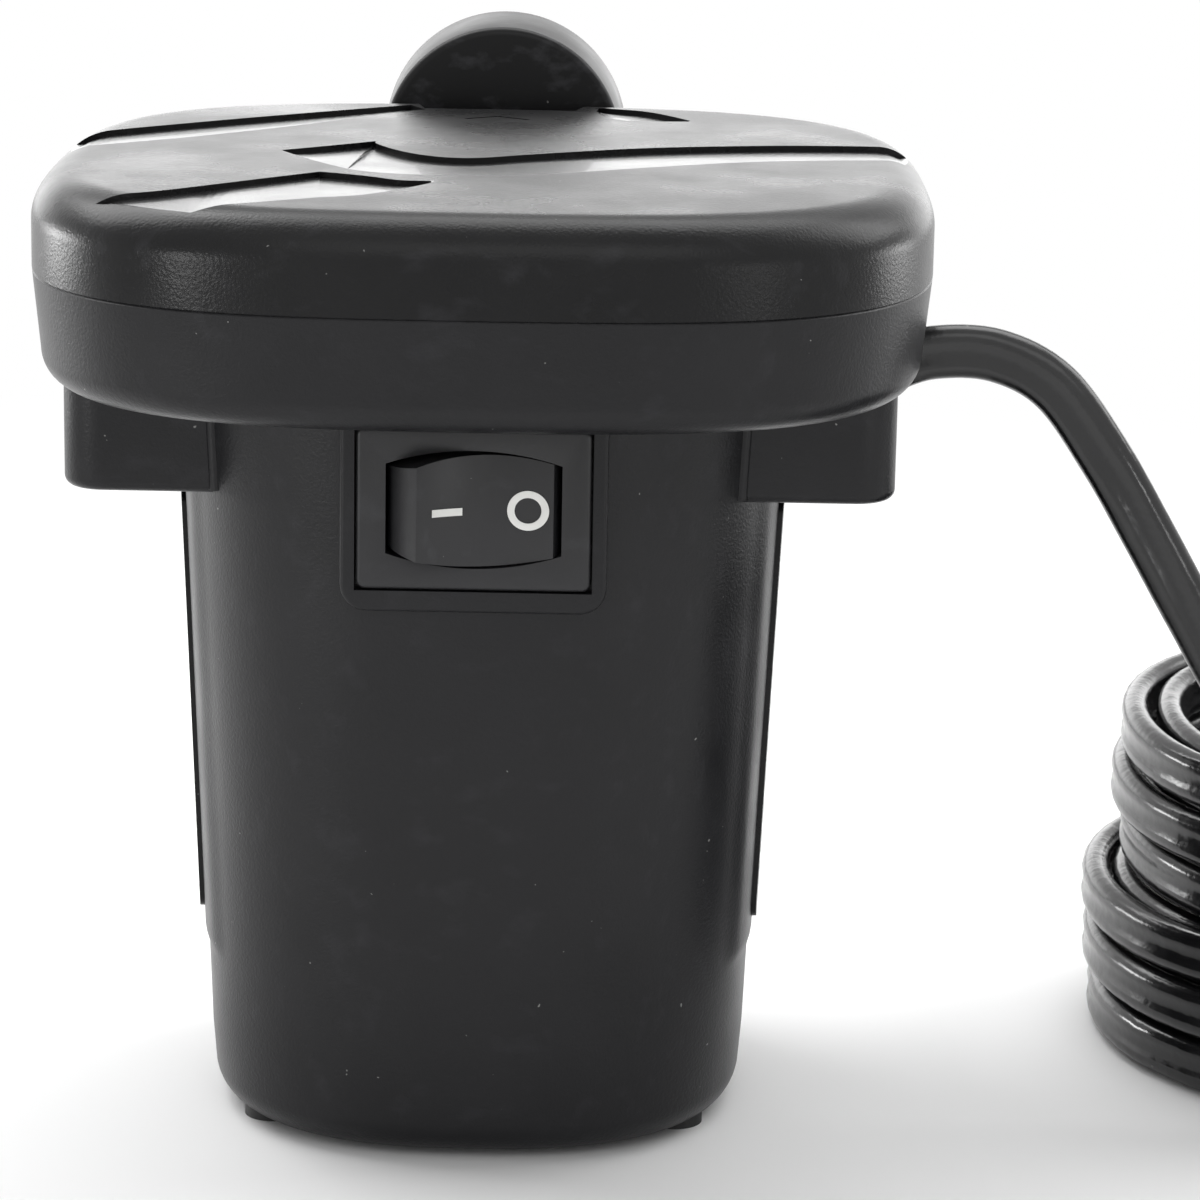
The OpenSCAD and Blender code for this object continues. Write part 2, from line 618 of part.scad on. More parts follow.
// The barrel outline of the rocker seen from the front, as a solid along Y
module barrel(grow, depth) rotate([-90, 0, 0]) intersection() {
    translate([0, barrel_r - rocker_h / 2, 0]) cylinder(r = barrel_r + grow, h = depth, $fn = 96);
    translate([0, rocker_h / 2 - barrel_r, 0]) cylinder(r = barrel_r + grow, h = depth, $fn = 96);
}
module switch_housing() color(dark) difference() {
    union() {
        translate([-bezel_w / 2, land_y, switch_z - bezel_h / 2]) cube([bezel_w, bezel_t, bezel_h]);
        translate([-switch_w / 2, land_y + bezel_t - EPS, switch_z - switch_h / 2])
            cube([switch_w, switch_depth, switch_h]);
    }
    translate([0, 0, switch_z]) intersection() {
        translate([0, land_y - 1, 0]) barrel(0.3, 5);
        translate([-8.05, land_y - 1, -10]) cube([16.1, 5, 20]);
    }
    translate([-cavity_half, land_y + bezel_t, switch_z - rocker_h / 2 - 0.15])
        cube([2 * cavity_half, switch_depth - 1.2, rocker_h + 0.3]);
    translate([0, pivot_y, switch_z - 6.2]) cylinder(r = 1 + running, h = 12.4);
    for (x = [0, contact_x]) translate([x - 0.4, blade_pivot_y + 0.5, switch_z - 2.4]) cube([0.8, 10, 4.8]);
}
contact_x = 5.2;
bead_r = 0.5;          // round bead that the blade rocks on, in the middle terminal's hollow end
module switch_terminals() color(brass) {
    difference() {
        translate([-0.4, blade_pivot_y + 0.05, switch_z - 2.4])
            cube([0.8, tab_back - blade_pivot_y - 0.05, 4.8]);
        translate([0, blade_pivot_y, switch_z - 3]) cylinder(r = bead_r + running, h = 6);
    }
    translate([contact_x - 0.4, blade_pivot_y + 0.62, switch_z - 2.4])
        cube([0.8, tab_back - blade_pivot_y - 0.62, 4.8]);
}
tab_back = land_y + bezel_t + switch_depth + 5.5;
// The see-saw blade under the rocker, tilted the other way
module switch_contact() color(copper) translate([0, blade_pivot_y, switch_z]) rotate([0, 0, -blade_tilt])
{
    translate([-5.6, -bead_r, -2]) cube([11.2, 0.45, 4]);
    translate([0, 0, -2]) cylinder(r = bead_r, h = 4);
}
face_r = 16.3;
face_y = 3.75;
module rocker_body() translate([0, pivot_y, switch_z]) rotate([0, 0, rest_tilt]) children();
module switch_rocker() color(dark) rocker_body() {
    difference() {
        intersection() {
            translate([0, 0, -rocker_h / 2]) cylinder(r = rocker_r, h = rocker_h);
            translate([0, -12, 0]) barrel(0, 24);
        }
        translate([0, -face_y - face_r, -10]) cylinder(r = face_r, h = 20, $fn = 96);
        translate([-10, 2, -10]) cube([20, 12, 20]);
        translate([0, 1, 0]) rotate([-90, 0, 0]) cylinder(r = 1.3, h = 5);
    }
    for (z = [-1, 1]) translate([0, 0, z * (rocker_h / 2 + 0.3) - 0.55]) cylinder(r = 1, h = 1.1);
}
module rocker_plunger() color("#c8c4b8") rocker_body()
    translate([0, 1, 0]) rotate([-90, 0, 0]) cylinder(r = 1.25, h = 4.1);
mark_t = 0.1;
module rocker_marks() color("white") rocker_body() intersection() {
    translate([0, -face_y - face_r, -5]) tube(face_r, face_r - mark_t, 10);
    union() {
        translate([-4.8, -8, -0.35]) cube([2.9, 8, 0.7]);
        translate([4.1, 0, 0]) rotate([90, 0, 0]) tube(1.85, 1.2, 8);
    }
}

// ---- Wires from the cord to the switch and the motor ----
wire_d = 1.6;
cord_y = -12;          // where the cord leaves the head
join_z = can_bottom - 6.1; // the wires meet the motor's terminals here
wire_x = body_half - 1.4;
supply_route = [[wire_x, cord_y, 72.9], [24, -13, 71.6], [19, -18.5, 70.2], [13, -20.3, 69.6],
    [7, -18.2, 68.6], [0, -17.6, 67.7]];
motor_route = [[contact_x, -17.6, 61], [5.4, -18.3, 56], [7, -18.6, 48], [10, -17, join_z + 14.6],
    [12.5, -14, join_z + 4.6], [11.5, -10, join_z + 0.6], [9.5, -5.5, join_z], [terminal_x, -3.6, join_z]];
return_route = [[wire_x, cord_y, 70.7], [25, -12.6, 69.8], [22.5, -15.2, 66.5], [19, -18.8, 60],
    [12, -22, 54], [2, -22.5, 51], [-7, -20, 46], [-11.5, -16.2, join_z + 13.6], [-12.5, -14, join_z + 4.6],
    [-11.5, -10, join_z + 0.6], [-9.5, -5.5, join_z], [-terminal_x, -3.6, join_z]];
module switch_wires() color("#8c1c1c") {
    swept(smooth_route(supply_route, 2), wire_d, wire_d, 8, [0, 0, 1]);
    swept(smooth_route(motor_route, 2), wire_d, wire_d, 8, [1, 0, 0]);
    swept(smooth_route(return_route, 2), wire_d, wire_d, 8, [0, 1, 0.4]);
}

// ---- Cord ----
cord_run_z = body_top - 1.5;   // the cord's middle in the body's wall
cord_z = body_top + 1.9;       // the cord's middle at the head's side
cord_inner_x = body_half - 0.9;
cord_low = cord_run_z - cord_w / 2 - 0.2;
grommet_x = body_half + 0.6;
grommet_len = 5;
grommet_half = 4;
grommet_h = 7.5;
module cord_channel(low, high) translate([cord_inner_x - 5, cord_y - cord_t / 2 - clearance, low])
    cube([30, cord_t + 2 * clearance, high - low]);
module cord_grommet() color(dark) difference() {
    translate([grommet_x + clearance, cord_y - grommet_half, body_top - grommet_h])
        cube([grommet_len - 2 * clearance, 2 * grommet_half, grommet_h]);
    cord_channel(cord_low, body_top + 1);
}
coil_x = head_half + 50.5;
coil_y = 13;
coil_pitch = cord_w + 0.5;
coil_columns_w = 2 * cord_t + 0.6;
plug_x = coil_x + coil_r + 4;
plug_y = 52;
lead_route = [[cord_inner_x, cord_y, cord_run_z], [30.5, cord_y, cord_run_z], [34, cord_y, cord_run_z + 0.45],
    [38.5, cord_y, cord_z - 1.45], [head_half + 0.5, cord_y, cord_z], [head_half + 6.5, -12.5, cord_z - 0.1],
    [head_half + 12.1, -14, 72.6],
    [head_half + 17.1, -15, 66], [head_half + 21.3, -15, 59], [head_half + 26.2, -15, 50.5],
    [head_half + 31.5, -16, 42], [coil_x - 11, -18, 35], [coil_x, -19.7, 31.5]];
tail_route = [[plug_x - 2.3, coil_y, 3], [plug_x - 1.6, 24, 4], [plug_x - 0.6, 34, 7], [plug_x, 44, 11.2],
    [plug_x, plug_y - 0.15, plug_r]];
module cord_lead() color("#111113") swept(smooth_route(lead_route, 3), cord_w, cord_t, 10, [0, 0, 1]);
module cord_coil() color("#111113") translate([coil_x, coil_y, 0.1]) rotate_extrude($fn = 96)
    translate([coil_r - coil_columns_w / 2, 0]) square([coil_columns_w, coil_layers * coil_pitch]);
module cord_tail() color("#111113") swept(smooth_route(tail_route, 3), cord_w, cord_t, 10, [0, 0, 1]);

// ---- Plug ----
handle_len = 40;
nose_len = 34;
nose_wall = 1.6;
tip_travel = 3;
fuse_r = 3.15;
module along_plug(from) translate([plug_x, plug_y + from, plug_r]) rotate([-90, 0, 0]) children();
module plug_sleeve() color("#111113") along_plug(0) difference() {
    rotate_extrude() polygon([[0, 0], [3.4, 0], [4.8, 9], [4.8, 10], [0, 10]]);
    translate([0, 0, 8]) cylinder(r = 3.6, h = 5);
}
module plug_handle() color("#151517") along_plug(10) difference() {
    rotate_extrude() polygon([[0, 0], [7, 0], [8.5, 2], [plug_r - 1.5, 14], [plug_r - 0.5, 24],
        [plug_r, handle_len - 1], [plug_r - 1, handle_len], [0, handle_len]]);
    translate([0, 0, 2]) cylinder(r = 6, h = 10);
    translate([0, 0, 11]) cylinder(r = nose_r - nose_wall - 0.6, h = 60);
    translate([0, 0, -1]) cylinder(r = 3.6, h = 5);
    for (k = [0:4]) translate([0, 0, 18 + 3 * k]) tube(plug_r + 2, plug_r - 1.1, 1.2);
    translate([0, -plug_r, 34.5]) rotate([-90, 0, 0]) translate([0, 0, -1]) cylinder(r = 1.5, h = 6);
}
module plug_lamp() color("#b01818") along_plug(10) translate([0, 0, 34.5]) rotate([90, 0, 0])
    translate([0, 0, plug_r - 4]) cylinder(r = 1.45, h = 3.6);
module plug_nose() color("#1a1a1c") along_plug(10 + handle_len) difference() {
    cylinder(r = nose_r, h = nose_len);
    translate([0, 0, -1]) cylinder(r = nose_r - nose_wall, h = nose_len + 2);
    for (s = [-1, 1]) translate([s > 0 ? 5 : -25, -2.6, 8]) cube([20, 5.2, 16]);
}
module plug_side_contacts() color(steel) along_plug(10 + handle_len) for (s = [-1, 1]) scale([s, 1, 1]) {
    translate([nose_r - nose_wall - 1, -2.2, 1]) cube([0.5, 4.4, nose_len - 6]);
    intersection() {
        translate([nose_r - nose_wall - 0.9, -2.2, 9]) cube([nose_r, 4.4, 14]);
        translate([nose_r - 11, 2.2, 16]) rotate([90, 0, 0]) tube(11.6, 11.1, 4.4);
    }
}
ring_len = 9;
module plug_end_ring() color(steel) along_plug(10 + handle_len + nose_len) difference() {
    rotate_extrude() polygon([[0, 0], [nose_r - 0.2, 0], [nose_r - 0.6, 2], [nose_r - 2.2, 3],
        [7, ring_len], [0, ring_len]]);
    translate([0, 0, -1]) cylinder(r = 5.2, h = ring_len - 1);
    translate([0, 0, -1]) cylinder(r = 3.4 + running, h = ring_len + 5);
}
tip_flange = 1.6;
tip_out = 5;
module plug_tip() color(brass) along_plug(10 + handle_len + nose_len) {
    translate([0, 0, ring_len - 2 - tip_flange - 0.1]) cylinder(r = 4.9, h = tip_flange);
    translate([0, 0, ring_len - 2.2]) cylinder(r = 3.4, h = 2.2 + tip_out - 1.2);
    translate([0, 0, ring_len + tip_out - 1.2 - EPS]) cylinder(r1 = 3.4, r2 = 2, h = 1.2);
}
fuse_len = 30;
fuse_end = 10 + handle_len + nose_len + ring_len - 2 - tip_flange - 0.1;
module plug_fuse() color("#dfe3e3") along_plug(fuse_end - fuse_len) {
    cylinder(r = fuse_r, h = 6);
    translate([0, 0, 6 - EPS]) cylinder(r = fuse_r - 0.2, h = fuse_len - 12 + 2 * EPS);
    translate([0, 0, fuse_len - 6]) cylinder(r = fuse_r, h = 6);
}
// The spring stands on the handle's inner floor and grips round the end of the fuse
spring_low = 21;
module plug_spring() color(steel) along_plug(spring_low)
    tube(fuse_r + 0.9, fuse_r + 0.15, fuse_end - fuse_len - spring_low + 4);

body_housing();
side_grille_left();
side_grille_right();
rubber_feet();
head_base();
top_cover();
outlet_collar();
housing_screws();
motor_can();
motor_end_cap();
motor_magnets();
motor_brushes();
brush_springs();
motor_terminals();
motor_bush_top();
motor_bush_bottom();
motor_screws();
motor_cushion();
noise_capacitor();
motor_shaft();
armature_core();
armature_windings();
commutator();
impeller();
impeller_washer();
switch_housing();
switch_terminals();
switch_contact();
switch_rocker();
rocker_plunger();
rocker_marks();
switch_wires();
cord_grommet();
cord_lead();
cord_coil();
cord_tail();
plug_handle();
plug_nose();
plug_end_ring();
plug_tip();
plug_fuse();
plug_spring();
plug_side_contacts();
plug_sleeve();
plug_lamp();
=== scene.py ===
"""A 12 V air pump with a wide fan head, a tapered motor body, an outlet collar and a car plug."""

import logging
import math
from dataclasses import dataclass, field
from enum import Enum
from typing import Any, Callable, Sequence

import bmesh
import bpy
import numpy as np
from mathutils import Matrix
from numpy.typing import NDArray


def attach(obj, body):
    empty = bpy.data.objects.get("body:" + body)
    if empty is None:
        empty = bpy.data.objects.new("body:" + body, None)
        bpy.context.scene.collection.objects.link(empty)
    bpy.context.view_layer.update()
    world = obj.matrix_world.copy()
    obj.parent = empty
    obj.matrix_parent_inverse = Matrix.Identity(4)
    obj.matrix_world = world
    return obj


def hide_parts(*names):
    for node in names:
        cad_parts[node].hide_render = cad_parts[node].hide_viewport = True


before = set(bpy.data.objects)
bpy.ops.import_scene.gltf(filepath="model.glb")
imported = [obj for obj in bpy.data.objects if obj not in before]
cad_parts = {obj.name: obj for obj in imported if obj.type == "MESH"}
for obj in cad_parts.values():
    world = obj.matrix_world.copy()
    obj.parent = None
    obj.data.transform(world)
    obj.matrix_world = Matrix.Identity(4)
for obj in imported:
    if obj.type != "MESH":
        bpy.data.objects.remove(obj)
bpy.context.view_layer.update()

log = logging.getLogger("air_pump")
Array = NDArray[np.float64]
Node = bpy.types.Node
Piece = bpy.types.Object

MM = 0.001
BODY = "pump"
TAU = 2 * math.pi
# For skins made along +Z: turns that lay them backwards or forwards, and the swap of Y and Z
TO_BACK = np.array([[1.0, 0, 0], [0, 0, 1], [0, -1, 0]])
TO_FRONT = np.array([[1.0, 0, 0], [0, 0, -1], [0, 1, 0]])
SWAP_YZ = np.array([[1.0, 0, 0], [0, 0, 1], [0, 1, 0]])


# ---------------------------------------------------------------- surfaces


@dataclass
class Skin:
    """A closed surface in millimetres: its points, and its faces as lists of point numbers."""

    points: Array
    faces: list[list[int]]

    def placed(self, turn: Array, shift: Sequence[float] = (0, 0, 0)) -> "Skin":
        """Returns the skin turned by a 3 by 3 matrix and then shifted."""
        return Skin(self.points @ np.asarray(turn, float).T + np.asarray(shift, float), self.faces)

    def shifted(self, x: float = 0.0, y: float = 0.0, z: float = 0.0) -> "Skin":
        """Returns the skin moved by x, y and z."""
        return Skin(self.points + np.array([x, y, z]), self.faces)

    def mirrored(self) -> "Skin":
        """Returns the skin's mirror image across X = 0, with its faces still outwards."""
        return Skin(self.points * [-1, 1, 1], [f[::-1] for f in self.faces])


def joined(skins: Sequence[Skin]) -> Skin:
    """Returns several separate skins as one."""
    points, faces, start = [], [], 0
    for skin in skins:
        points.append(skin.points)
        faces += [[i + start for i in f] for f in skin.faces]
        start += len(skin.points)
    return Skin(np.concatenate(points), faces)


def grid_skin(grid: Array, ring: bool = False) -> Skin:
    """Covers a grid of points with quads, its columns joined round.

    Point (row, column) joins its neighbours at row + 1 and column + 1. The first and last rows are
    closed by one face each, or joined to each other.

    Args:
        grid: rows by columns by 3, in millimetres.
        ring: the last row joins the first, as on a hoop.

    Returns:
        The closed skin.
    """
    rows, columns = grid.shape[:2]
    number = np.arange(rows * columns).reshape(rows, columns)
    low = number if ring else number[:-1]
    high = np.roll(number, -1, 0) if ring else number[1:]
    quads = np.stack([low, np.roll(low, -1, 1), np.roll(high, -1, 1), high], -1).reshape(-1, 4)
    faces = quads.tolist()
    if not ring:
        faces += [number[0, ::-1].tolist(), number[-1].tolist()]
    return Skin(grid.reshape(-1, 3), faces)


def eased(share: Array) -> Array:
    """Returns an S-curve from 0 to 1 over a share from 0 to 1."""
    return share * share * (3 - 2 * share)


def squircle(half: float, power: float, sides: int = 192) -> Array:
    """Returns a superellipse outline: radius = half * (|cos a|^n + |sin a|^n)^(-1/n) at angle a."""
    a = TAU * np.arange(sides) / sides
    c, s = np.cos(a), np.sin(a)
    r = half * (np.abs(c) ** power + np.abs(s) ** power) ** (-1 / power)
    return np.stack([r * c, r * s], -1)


def band(inner: float | Array, outer: float | Array, angles: Array) -> Array:
    """Returns the outline between two arcs or spirals about the origin, over the same angles."""
    ray = np.stack([np.cos(angles), np.sin(angles)], -1)
    near, far = (ray * np.reshape(r, (-1, 1)) for r in (inner, outer))
    return np.concatenate([far, near[::-1]])


def rounded_rectangle(half_w: float, half_h: float, radius: float, steps: int = 6) -> Array:
    """Returns a rectangle outline whose corners are arcs of one radius.

    Args:
        half_w: half the width, in millimetres.
        half_h: half the height.
        radius: the corners' radius.
        steps: the number of chords in each corner.

    Returns:
        The outline's points, four corners of steps + 1 points each.
    """
    r = max(radius, 0.01)
    a = np.radians(np.linspace(0, 90, steps + 1))
    corner = np.stack([half_w - r + r * np.cos(a), half_h - r + r * np.sin(a)], -1)
    flip = [corner, corner[::-1] * [-1, 1], corner * [-1, -1], corner[::-1] * [1, -1]]
    return np.concatenate(flip)


def prism(outline: Callable[[float], Array], low: float, high: float, edge_low: float = 0.0,
          edge_high: float = 0.0, steps: int = 4) -> Skin:
    """Carries an outline along +Z, with rounded edges at its two ends.

    At an angle a on an edge of radius e the outline is inset by e * (1 - sin a), and stands
    e * (1 - cos a) inside the end.

    Args:
        outline: gives the outline's points for an inset.
        low: height of the lower end.
        high: height of the upper end.
        edge_low: radius of the lower edge.
        edge_high: radius of the upper edge.
        steps: rows in each rounded edge.

    Returns:
        The closed skin.
    """
    a = np.radians(np.linspace(0, 90, steps + 1))
    rows = []
    for end, edge, way in ((low, edge_low, 1), (high, edge_high, -1)):
        rounded = [(edge * (1 - math.sin(t)), end + way * edge * (1 - math.cos(t))) for t in a]
        rows += rounded[::way] if edge else [(0.0, end)]
    return grid_skin(np.stack([np.column_stack([o := outline(inset), np.full(len(o), z)])
                               for inset, z in rows]))


def block(low: Sequence[float], high: Sequence[float], radius: float = 0.0,
          edge: float = 0.0) -> Skin:
    """Returns a block between two corners, its upright corners and its other edges rounded."""
    lo, hi = np.asarray(low, float), np.asarray(high, float)
    half, mid = (hi - lo) / 2, (hi + lo) / 2
    skin = prism(lambda i: rounded_rectangle(half[0] - i, half[1] - i, radius - i), lo[2], hi[2],
                 edge, edge)
    return skin.shifted(mid[0], mid[1])


def cylinder(radius: float, low: float, high: float, edge: float = 0.0, sides: int = 64) -> Skin:
    """Returns a cylinder along +Z, its two edges rounded."""
    return prism(lambda i: squircle(radius - i, 2, sides), low, high, edge, edge)


def turned(profile: Sequence[tuple[float, float]], power: float = 2.0, sides: int = 96) -> Skin:
    """Carries a profile of (half width, height) points round a superellipse about the Z axis.

    The point at angle a is half * (|cos a|^n + |sin a|^n)^(-1/n) out, so a power of 2 is a lathe.
    A half width of 0 closes the skin in a pole.

    Args:
        profile: the (half width, height) pairs, in millimetres.
        power: the superellipse's exponent.
        sides: points in each outline.

    Returns:
        The closed skin.
    """
    rows = np.asarray(profile, float)
    unit = squircle(1.0, power, sides)
    grid = np.concatenate([rows[:, None, :1] * unit[None],
                           np.broadcast_to(rows[:, None, 1:], (len(rows), sides, 1))], -1)
    return grid_skin(grid)


def arc(centre: tuple[float, float], rx: float, ry: float, start: float, end: float,
        steps: int) -> list[tuple[float, float]]:
    """Returns points of an elliptical arc from one angle to another, in degrees."""
    a = np.radians(np.linspace(start, end, steps + 1))
    return list(zip((centre[0] + rx * np.cos(a)).tolist(), (centre[1] + ry * np.sin(a)).tolist()))


def smooth_path(points: Sequence[Sequence[float]], steps: int) -> Array:
    """Returns a smooth curve through the points.

    Between points 1 and 2, at share u, it is 0.5 * (2 p1 + (p2 - p0) u + (2 p0 - 5 p1 + 4 p2 - p3)
    u^2 + (3 p1 - p0 - 3 p2 + p3) u^3).

    Args:
        points: the points that it passes.
        steps: new points for each stretch.

    Returns:
        The curve's points, ends included.
    """
    p = np.asarray(points, float)
    q = np.concatenate([p[:1], p, p[-1:]])
    p0, p1, p2, p3 = (q[i:len(q) - 3 + i][:, None, :] for i in range(4))
    u = (np.arange(steps) / steps)[None, :, None]
    curve = 0.5 * (2 * p1 + (p2 - p0) * u + (2 * p0 - 5 * p1 + 4 * p2 - p3) * u ** 2
                   + (3 * p1 - p0 - 3 * p2 + p3) * u ** 3)
    return np.concatenate([curve.reshape(-1, p.shape[1]), p[-1:]])


def unit(v: Array) -> Array:
    """Returns vectors of length 1 in the directions of v."""
    return v / np.linalg.norm(v, axis=-1, keepdims=True)


def swept(path: Array, section: Array, lean: Sequence[float] = (0, 0, 1),
          ring: bool = False) -> Skin:
    """Carries a section along a path.

    The point (row i, section point (a, b)) is path[i] + a * side + b * up, where side is the lean
    direction crossed with the path's heading, and up the heading crossed with side.

    Args:
        path: the path's points.
        section: the section's (side, up) points, in millimetres.
        lean: the direction that the section's up axis leans to.
        ring: the path is closed.

    Returns:
        The closed skin.
    """
    ahead = unit(np.roll(path, -1, 0) - np.roll(path, 1, 0) if ring else np.gradient(path, axis=0))
    side = unit(np.cross(np.asarray(lean, float), ahead))
    up = np.cross(ahead, side)
    grid = path[:, None] + section[None, :, :1] * side[:, None] + section[None, :, 1:] * up[:, None]
    return grid_skin(grid, ring)


# ------------------------------------------------------------------ pieces


class Cut(Enum):
    """What a boolean step does to a piece."""

    JOIN = "UNION"
    REMOVE = "DIFFERENCE"
    KEEP = "INTERSECT"


def flatten(piece: Piece) -> None:
    """Puts what the piece's modifiers make into its own mesh."""
    graph = bpy.context.evaluated_depsgraph_get()
    mesh = bpy.data.meshes.new_from_object(piece.evaluated_get(graph))
    piece.modifiers.clear()
    old, piece.data = piece.data, mesh
    bpy.data.meshes.remove(old)


def mesh_points(mesh: bpy.types.Mesh) -> Array:
    """Returns a mesh's points in millimetres."""
    points = np.empty(3 * len(mesh.vertices))
    mesh.vertices.foreach_get("co", points)
    return points.reshape(-1, 3) / MM


def new_piece(name: str, skin: Skin) -> Piece:
    """Makes a mesh object of a skin, its doubles merged and its faces outwards.

    Args:
        name: the piece's name.
        skin: its surface, in millimetres.

    Returns:
        The new object, at the origin.
    """
    mesh = bpy.data.meshes.new(name)
    mesh.from_pydata(skin.points * MM, [], skin.faces)
    bm = bmesh.new()
    bm.from_mesh(mesh)
    bmesh.ops.remove_doubles(bm, verts=bm.verts, dist=1e-7)
    bmesh.ops.recalc_face_normals(bm, faces=bm.faces)
    bm.to_mesh(mesh)
    bm.free()
    piece = bpy.data.objects.new(name, mesh)
    bpy.context.scene.collection.objects.link(piece)
    return piece


def shape(piece: Piece, how: Cut, skins: Sequence[Skin]) -> None:
    """Joins skins to the piece, takes them away from it, or keeps only what is inside them.

    Args:
        piece: the piece to change.
        how: which of the three.
        skins: the other solids, each closed.
    """
    group = bpy.data.collections.new("cutters")
    others = [new_piece(f"cutter_{k}", s) for k, s in enumerate(skins)]
    for other in others:
        group.objects.link(other)
    step = piece.modifiers.new("cut", "BOOLEAN")
    step.operation, step.solver = how.value, "EXACT"
    step.operand_type, step.collection = "COLLECTION", group
    flatten(piece)
    for other in others:
        mesh = other.data
        bpy.data.objects.remove(other)
        bpy.data.meshes.remove(mesh)
    bpy.data.collections.remove(group)


def shared(first: Skin, second: Skin) -> Skin:
    """Returns what two closed skins have in common, as a skin of its own."""
    piece = new_piece("shared", first)
    shape(piece, Cut.KEEP, [second])
    skin = Skin(mesh_points(piece.data), [list(p.vertices) for p in piece.data.polygons])
    bpy.data.objects.remove(piece)
    return skin


def softened(piece: Piece, width: float, steps: int = 2) -> None:
    """Rounds the piece's edges of over 40 degrees by a width in millimetres."""
    bevel = piece.modifiers.new("edges", "BEVEL")
    bevel.width, bevel.segments = width * MM, steps
    bevel.limit_method, bevel.angle_limit = "ANGLE", math.radians(40)
    bevel.use_clamp_overlap = True
    flatten(piece)


def finished(piece: Piece, finish: "Finish", body: str = BODY, replaces: Sequence[str] = (),
             angle: float = 32) -> Piece:
    """Gives a new piece its shading, material and body, and reports it.

    Args:
        piece: the piece.
        finish: what it is made of.
        body: the body that it rides on.
        replaces: the frame's nodes that it stands for.
        angle: edges sharper than this many degrees stay sharp.

    Returns:
        The piece.
    """
    mesh = piece.data
    mesh.polygons.foreach_set("use_smooth", np.ones(len(mesh.polygons), bool))
    mesh.set_sharp_from_angle(angle=math.radians(angle))
    mesh.materials.clear()
    mesh.materials.append(finish.material())
    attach(piece, body)
    if replaces:
        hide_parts(*replaces)
    log.info("%s: %d faces, %s, on %s", piece.name, len(mesh.polygons), finish.name, body)
    return piece


def dressed(finishes: dict[str, "Finish"]) -> list[Piece]:
    """Gives nodes of the frame their materials, and returns them."""
    pieces = [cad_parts[node] for node in finishes]
    for piece, (node, finish) in zip(pieces, finishes.items()):
        if not piece.material_slots:
            piece.data.materials.append(finish.material())
        for place in piece.material_slots:
            place.link, place.material = "OBJECT", finish.material()
        log.info("%s: kept from the frame, %s", node, finish.name)
    return pieces


# --------------------------------------------------------------- materials


def linear(colour: str) -> tuple[float, float, float, float]:
    """Returns an sRGB hex colour as linear red, green, blue and alpha."""
    c = np.array([int(colour[i:i + 2], 16) for i in (1, 3, 5)]) / 255
    rgb = np.where(c <= 0.04045, c / 12.92, ((c + 0.055) / 1.055) ** 2.4)
    return (*rgb.tolist(), 1.0)


def feed(node: Node, links: dict[Any, Any]) -> None:
    """Gives each named input of a node a value, or links it to an output socket."""
    for key, value in links.items():
        if isinstance(value, bpy.types.NodeSocket):
            node.id_data.links.new(value, node.inputs[key])
        else:
            node.inputs[key].default_value = value


def add_node(tree: bpy.types.NodeTree, kind: str, settings: dict[str, Any] | None = None,
             links: dict[Any, Any] | None = None) -> Node:
    """Adds a shader node.

    Args:
        tree: the node tree.
        kind: the node's type, such as "ShaderNodeBump".
        settings: the node's own properties.
        links: for each input socket, a value, or the output socket that feeds it.

    Returns:
        The new node.
    """
    node = tree.nodes.new(kind)
    for key, value in (settings or {}).items():
        setattr(node, key, value)
    feed(node, links or {})
    return node


@dataclass(frozen=True)
class Finish:
    """What every finish has: a name, and the record's slot that it stands for."""

    name: str
    slot: str

    def build(self, tree: bpy.types.NodeTree, shader: Node, place: bpy.types.NodeSocket) -> None:
        """Connects the finish's own nodes to the shader."""
        raise NotImplementedError

    def material(self) -> bpy.types.Material:
        """Returns the finish's material, made once."""
        made = bpy.data.materials.get(self.name)
        if made:
            return made
        made = bpy.data.materials.new(self.name)
        made.use_nodes = True
        tree = made.node_tree
        tree.nodes.clear()
        place = add_node(tree, "ShaderNodeTexCoord").outputs["Object"]
        shader = add_node(tree, "ShaderNodeBsdfPrincipled")
        add_node(tree, "ShaderNodeOutputMaterial", links={"Surface": shader.outputs["BSDF"]})
        self.build(tree, shader, place)
        return made


def cloud(tree: bpy.types.NodeTree, place: bpy.types.NodeSocket, size: float, detail: float = 3.0,
          low: float = 0.35, high: float = 0.65) -> bpy.types.NodeSocket:
    """Returns a soft noise from 0 to 1.

    Args:
        tree: the node tree.
        place: the coordinates.
        size: the width of a patch, in millimetres.
        detail: how many finer layers it has.
        low: the noise at which it is 0.
        high: the noise at which it is 1.

    Returns:
        The socket that carries it.
    """
    noise = add_node(tree, "ShaderNodeTexNoise", links={
        "Vector": place, "Scale": 1 / (size * MM), "Detail": detail, "Roughness": 0.55})
    ramp = add_node(tree, "ShaderNodeMapRange", {"clamp": True}, {
        "Value": noise.outputs["Fac"], "From Min": low, "From Max": high})
    return ramp.outputs["Result"]


def mixed(tree: bpy.types.NodeTree, share: Any, first: Any, second: Any) -> bpy.types.NodeSocket:
    """Returns one colour mixed with another by a share."""
    node = add_node(tree, "ShaderNodeMix", {"data_type": "RGBA"},
                    {0: share, 6: first, 7: second})
    return node.outputs[2]


def between(tree: bpy.types.NodeTree, share: bpy.types.NodeSocket, low: float,
            high: float) -> bpy.types.NodeSocket:
    """Returns a number that goes from low to high with a share."""
    node = add_node(tree, "ShaderNodeMapRange", {"clamp": True},
                    {"Value": share, "To Min": low, "To Max": high})
    return node.outputs["Result"]


